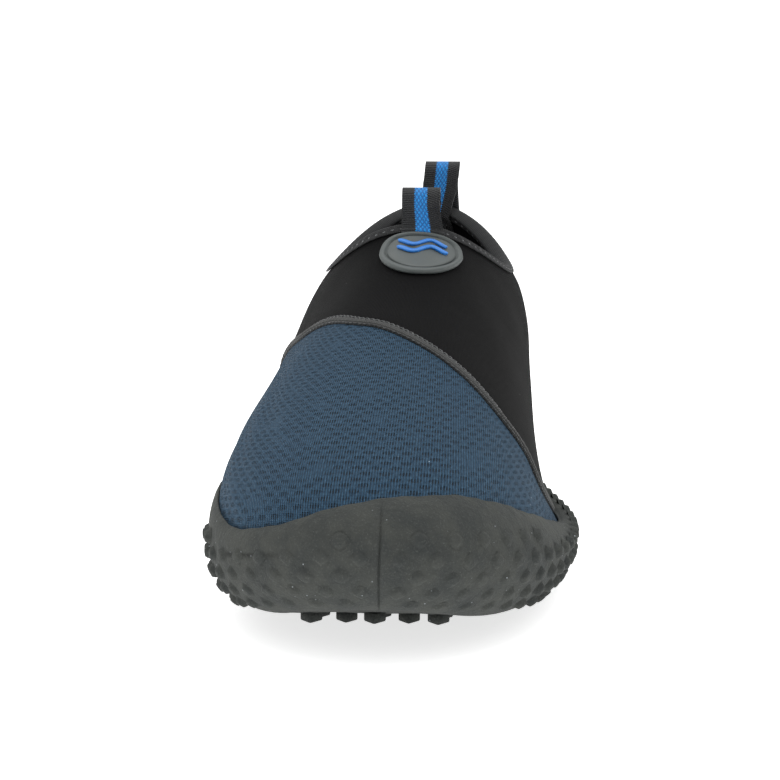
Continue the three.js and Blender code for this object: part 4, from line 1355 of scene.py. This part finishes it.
def make_insole():
    angles = even_angles(2.4)
    foot = feather_plan(np.radians(angles))
    edge = foot - outward(feather_plan, np.radians(angles)) * COVER_INSET
    rows = []
    for share in (0, 0.2, 0.4, 0.6, 0.78, 0.9, 0.97, 1):
        point = edge * share
        point[:, 2] = board_height(point[:, 1]) + COVER_BOTTOM + COVER_THICKNESS
        if share == 1:
            point[:, 2] -= 0.25
        rows.append(point)
    under = edge.copy()
    under[:, 2] = board_height(under[:, 1]) + COVER_BOTTOM
    rows.append(under)
    for share in (0.8, 0.4, 0):
        point = edge * share
        point[:, 2] = board_height(point[:, 1]) + COVER_BOTTOM
        rows.append(point)
    points = np.array(rows)
    uv = points[..., :2] * MM
    cover = piece("insole_knit_cover", [loft(points, ring=True, uv=uv)], [INSOLE], replaces=["insole_cover"],
                  closed=True)


def dress_hidden_nodes():
    """The layers that stay as solids inside the shoe get their own finishes."""
    for name, material, slot in (("lasting_board", BOARD, "fibre_board"), ("insole_foam", EVA, "eva_foam"),
                                 ("strobel_stitching", PALE_THREAD, "pale_thread")):
        mesh = frame["nodes"][name].data
        mesh.materials.clear()
        mesh.materials.append(material)


# ---- Badge ------------------------------------------------------------------------------------

WAVE_LENGTH = 16
WAVE_RISE = 1.6
WAVE_SPACING = 4.6
WAVE_LIFT = 3.2
WAVE_WIDTH = 1.7
WAVE_HEIGHT = 0.75


def apart(first, second):
    """Millimetres between two places on the last, each an angle in degrees and a height."""
    ends = [upper_face(np.radians(degrees), height) for degrees, height in (first, second)]
    return np.linalg.norm(ends[0] - ends[1])


BADGE_UP = apart((BADGE_ANGLE, 0.9), (BADGE_ANGLE, 0.8)) / 0.1
BADGE_CENTRE = 1 - (2.5 * BINDING_DEPTH + BADGE_HEIGHT / 2) / BADGE_UP
BADGE_AROUND = apart((BADGE_ANGLE + 1, BADGE_CENTRE), (BADGE_ANGLE - 1, BADGE_CENTRE)) / 2


def badge_place(across, up, offset):
    """A place on the instep, in millimetres across and up from the badge's middle."""
    return skin(BADGE_ANGLE + across / BADGE_AROUND, BADGE_CENTRE + up / BADGE_UP, offset)


def shield(angles):
    """The badge's outline: a rounded triangle, flat and wide at the top and narrow at the foot."""
    c, s = np.cos(angles), np.sin(angles)
    across = np.where(s > 0, np.abs(c) ** 0.62 * (1 + 0.12 * s), np.abs(c) ** 0.9 * (1 + 0.25 * s))
    across = np.sign(c) * across
    up = np.where(s > 0, np.abs(s) ** 0.8, s)
    return BADGE_WIDTH / 2 * across * 0.98, BADGE_HEIGHT / 2 * up


def make_badge():
    angles = np.linspace(0, 2 * np.pi, 145)
    x, y = shield(angles)
    top = BADGE_THICKNESS
    # Distance in from the outline, and height above the badge's seat: wall, raised rim, a narrow
    # moulded groove, and the flat field.
    section = [
        (0, 0), (0, 0.35 * top), (0.1, 0.7 * top), (0.4, 0.93 * top), (0.9, top), (1.5, 0.97 * top),
        (1.95, 0.84 * top), (2.2, 0.35 * top), (2.45, 0.25 * top), (2.7, 0.35 * top),
        (2.85, 0.66 * top), (3.1, 0.74 * top), (4.0, 0.76 * top), (6.0, 0.78 * top),
    ]
    rows = [badge_place(0 * x, 0 * y, BADGE_SEAT + 0 * x), badge_place(0.6 * x, 0.6 * y, BADGE_SEAT + 0 * x)]
    size = BADGE_HEIGHT / 2
    for inward, lift in section:
        share = 1 - inward / size
        reach = 1 - inward / (BADGE_WIDTH / 2)
        rows.append(badge_place(reach * x, share * y, BADGE_SEAT + lift + 0 * x))
    rows.append(badge_place(0 * x, 0 * y, BADGE_SEAT + 0.8 * top + 0 * x))
    piece("instep_badge", [loft(np.array(rows), ring=True)], [BADGE], replaces=["badge"],
          closed=True)
    field = BADGE_SEAT + 0.78 * top
    for name, node, up in (("wave_bar_upper", "badge_wave_upper", WAVE_LIFT + WAVE_SPACING / 2),
                           ("wave_bar_lower", "badge_wave_lower", WAVE_LIFT - WAVE_SPACING / 2)):
        steps = np.linspace(-0.5, 0.5, 61)
        height = WAVE_RISE * np.sin(3 * np.pi * steps)
        slope = WAVE_RISE * 3 * np.pi * np.cos(3 * np.pi * steps) / WAVE_LENGTH
        lean = np.stack([-slope, np.ones_like(slope)], -1)
        lean = unit(lean)
        # Both ends are rounded off in plan.
        past = np.clip(((np.abs(steps) - 0.5) * WAVE_LENGTH + WAVE_WIDTH / 2) / (WAVE_WIDTH / 2), 0, 1)
        taper = np.sqrt(1 - past**2)
        rows = []
        for side, lift in (
            (-1, -0.1), (-1, 0.62), (-0.86, 0.88), (-0.5, 1), (0.5, 1), (0.86, 0.88), (1, 0.62), (1, -0.1),
            (-1, -0.1),
        ):
            half = side * WAVE_WIDTH / 2 * taper
            rows.append(badge_place(WAVE_LENGTH * steps + lean[:, 0] * half, up + height + lean[:, 1] * half,
                                    field + lift * WAVE_HEIGHT + 0 * steps))
        piece(name, [loft(np.array(rows), tube=True)], [BADGE_BLUE], replaces=[node],
                     closed=True)


# ---- Pull loops -------------------------------------------------------------------------------


def through(points, count):
    """A smooth line through control points, at even spacing. Points are (control, column, 3)."""
    line = spline(points, 12)
    middle = line[:, line.shape[1] // 2]
    run = arc_lengths(middle, 0)
    places = np.linspace(0, run[-1], count)
    found = np.empty((count, line.shape[1], 3))
    for column in range(line.shape[1]):
        for k in range(3):
            found[:, column, k] = np.interp(places, run, line[:, column, k])
    return found


def make_loop(name, node, joint, degrees, height, lean, sway, outer_leg, inner_leg, tuck):
    """Webbing folded over into a loop that straddles the collar's binding, each leg sewn down."""
    hinge = HINGES[joint]
    half = WEBBING_WIDTH / 2
    columns = np.linspace(-half, half, 15)
    per_degree = np.linalg.norm(
        upper_face(np.radians(degrees + 1), 1.0) - upper_face(np.radians(degrees - 1), 1.0)
    ) / 2
    facing = 1 if abs(degrees) < 90 else -1
    angles = degrees + facing * columns / per_degree
    edge, up, out = collar_frame(angles)
    thick = WEBBING_THICKNESS
    # In the cloth's own directions: over the binding outside, and the same inside.
    proud = CLEARANCE + BINDING_THICKNESS + thick / 2 + 0.12
    inside = UPPER_THICKNESS + proud
    tilt = math.radians(lean)
    depth = LOOP_GAP / 2 + thick / 2
    top = height - thick / 2

    def stand(y, z):
        """A place on the standing loop, from the hinge, in millimetres back and up."""
        point = np.empty((len(columns), 3))
        point[:, 0] = hinge[0] + columns + sway * z / height
        point[:, 1] = hinge[1] + y * math.cos(tilt) + z * math.sin(tilt)
        point[:, 2] = hinge[2] + z * math.cos(tilt) - y * math.sin(tilt)
        return point

    near = -1 if facing > 0 else 1
    controls = [
        edge - up * outer_leg + out * (thick / 2 + tuck),
        edge - up * mix(outer_leg, BINDING_DEPTH, 0.55) + out * (thick / 2 + tuck + 0.15),
        edge - up * BINDING_DEPTH * 0.8 + out * proud,
        edge - up * 0.3 + out * (proud + 0.1),
        stand(near * (depth - 0.1), 0.38 * height),
        stand(near * depth, 0.62 * height),
        stand(near * depth * 0.93, top - 1.6),
        stand(near * depth * 0.55, top - 0.25),
        stand(0, top),
        stand(-near * depth * 0.55, top - 0.25),
        stand(-near * depth * 0.93, top - 1.6),
        stand(-near * depth, 0.62 * height),
        stand(-near * (depth - 0.1), 0.38 * height),
        edge - up * 0.3 - out * (inside + 0.1),
        edge - up * BINDING_DEPTH * 0.8 - out * inside,
        edge - up * mix(inner_leg, BINDING_DEPTH, 0.55) - out * (inside - 0.5),
        edge - up * inner_leg - out * (inside - 0.75),
    ]
    points = through(np.array(controls), 130)
    uv = np.stack([
        np.broadcast_to(columns + half, points.shape[:2]), arc_lengths(points, 0),
    ], -1) * MM
    mesh = loft(points, uv=uv)
    obj = piece(name, [mesh], [WEBBING], body=None, replaces=[node])
    thicken(obj, thick, offset=0)
    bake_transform(obj)
    return points


def make_tack(name, node, points, rows):
    """A bar tack: a close zigzag of thread across the webbing's leg."""
    meshes = []
    for row in rows:
        line = points[row, 2:-2]
        around = points[row + 1, 2:-2] - points[row, 2:-2]
        along = np.gradient(line, axis=0)
        out = unit(np.cross(along, around))
        inward = 1 if np.sum(out[:, 1]) * np.sign(points[0, 7, 1] - points[-1, 7, 1]) < 0 else -1
        fine = np.linspace(0, 1, 60)
        grow = np.linspace(0, 1, len(line))
        line = np.stack([np.interp(fine, grow, line[:, k]) for k in range(3)], -1)
        out = np.stack([np.interp(fine, grow, out[:, k]) for k in range(3)], -1)
        line = line + inward * out * (WEBBING_THICKNESS / 2)
        meshes.append(stitches_along(line, out, 0.62, 1.9, 0.4, 0.42, turn=78))
    piece(name, meshes, [THREAD], replaces=[node])


def make_loops():
    front = make_loop("front_pull_tab", "front_pull_loop", "front_loop_fold", BADGE_ANGLE,
                      FRONT_LOOP_HEIGHT, 8, 0, 5.9, 8.5, 0.1)
    rear = make_loop("rear_pull_tab", "rear_pull_loop", "rear_loop_fold", HEEL_ANGLE,
                     REAR_LOOP_HEIGHT, -4, 1.5, 9.0, 9.5, 0.2)
    make_tack("front_tack_stitching", "front_loop_tack", front, [120, 124])
    make_tack("rear_tack_stitching", "rear_loop_tack", rear, [118, 122])


make_sole()
make_upper()
make_vamp_seam()
make_collar()
make_heel_seam()
make_insole()
dress_hidden_nodes()
make_badge()
make_loops()
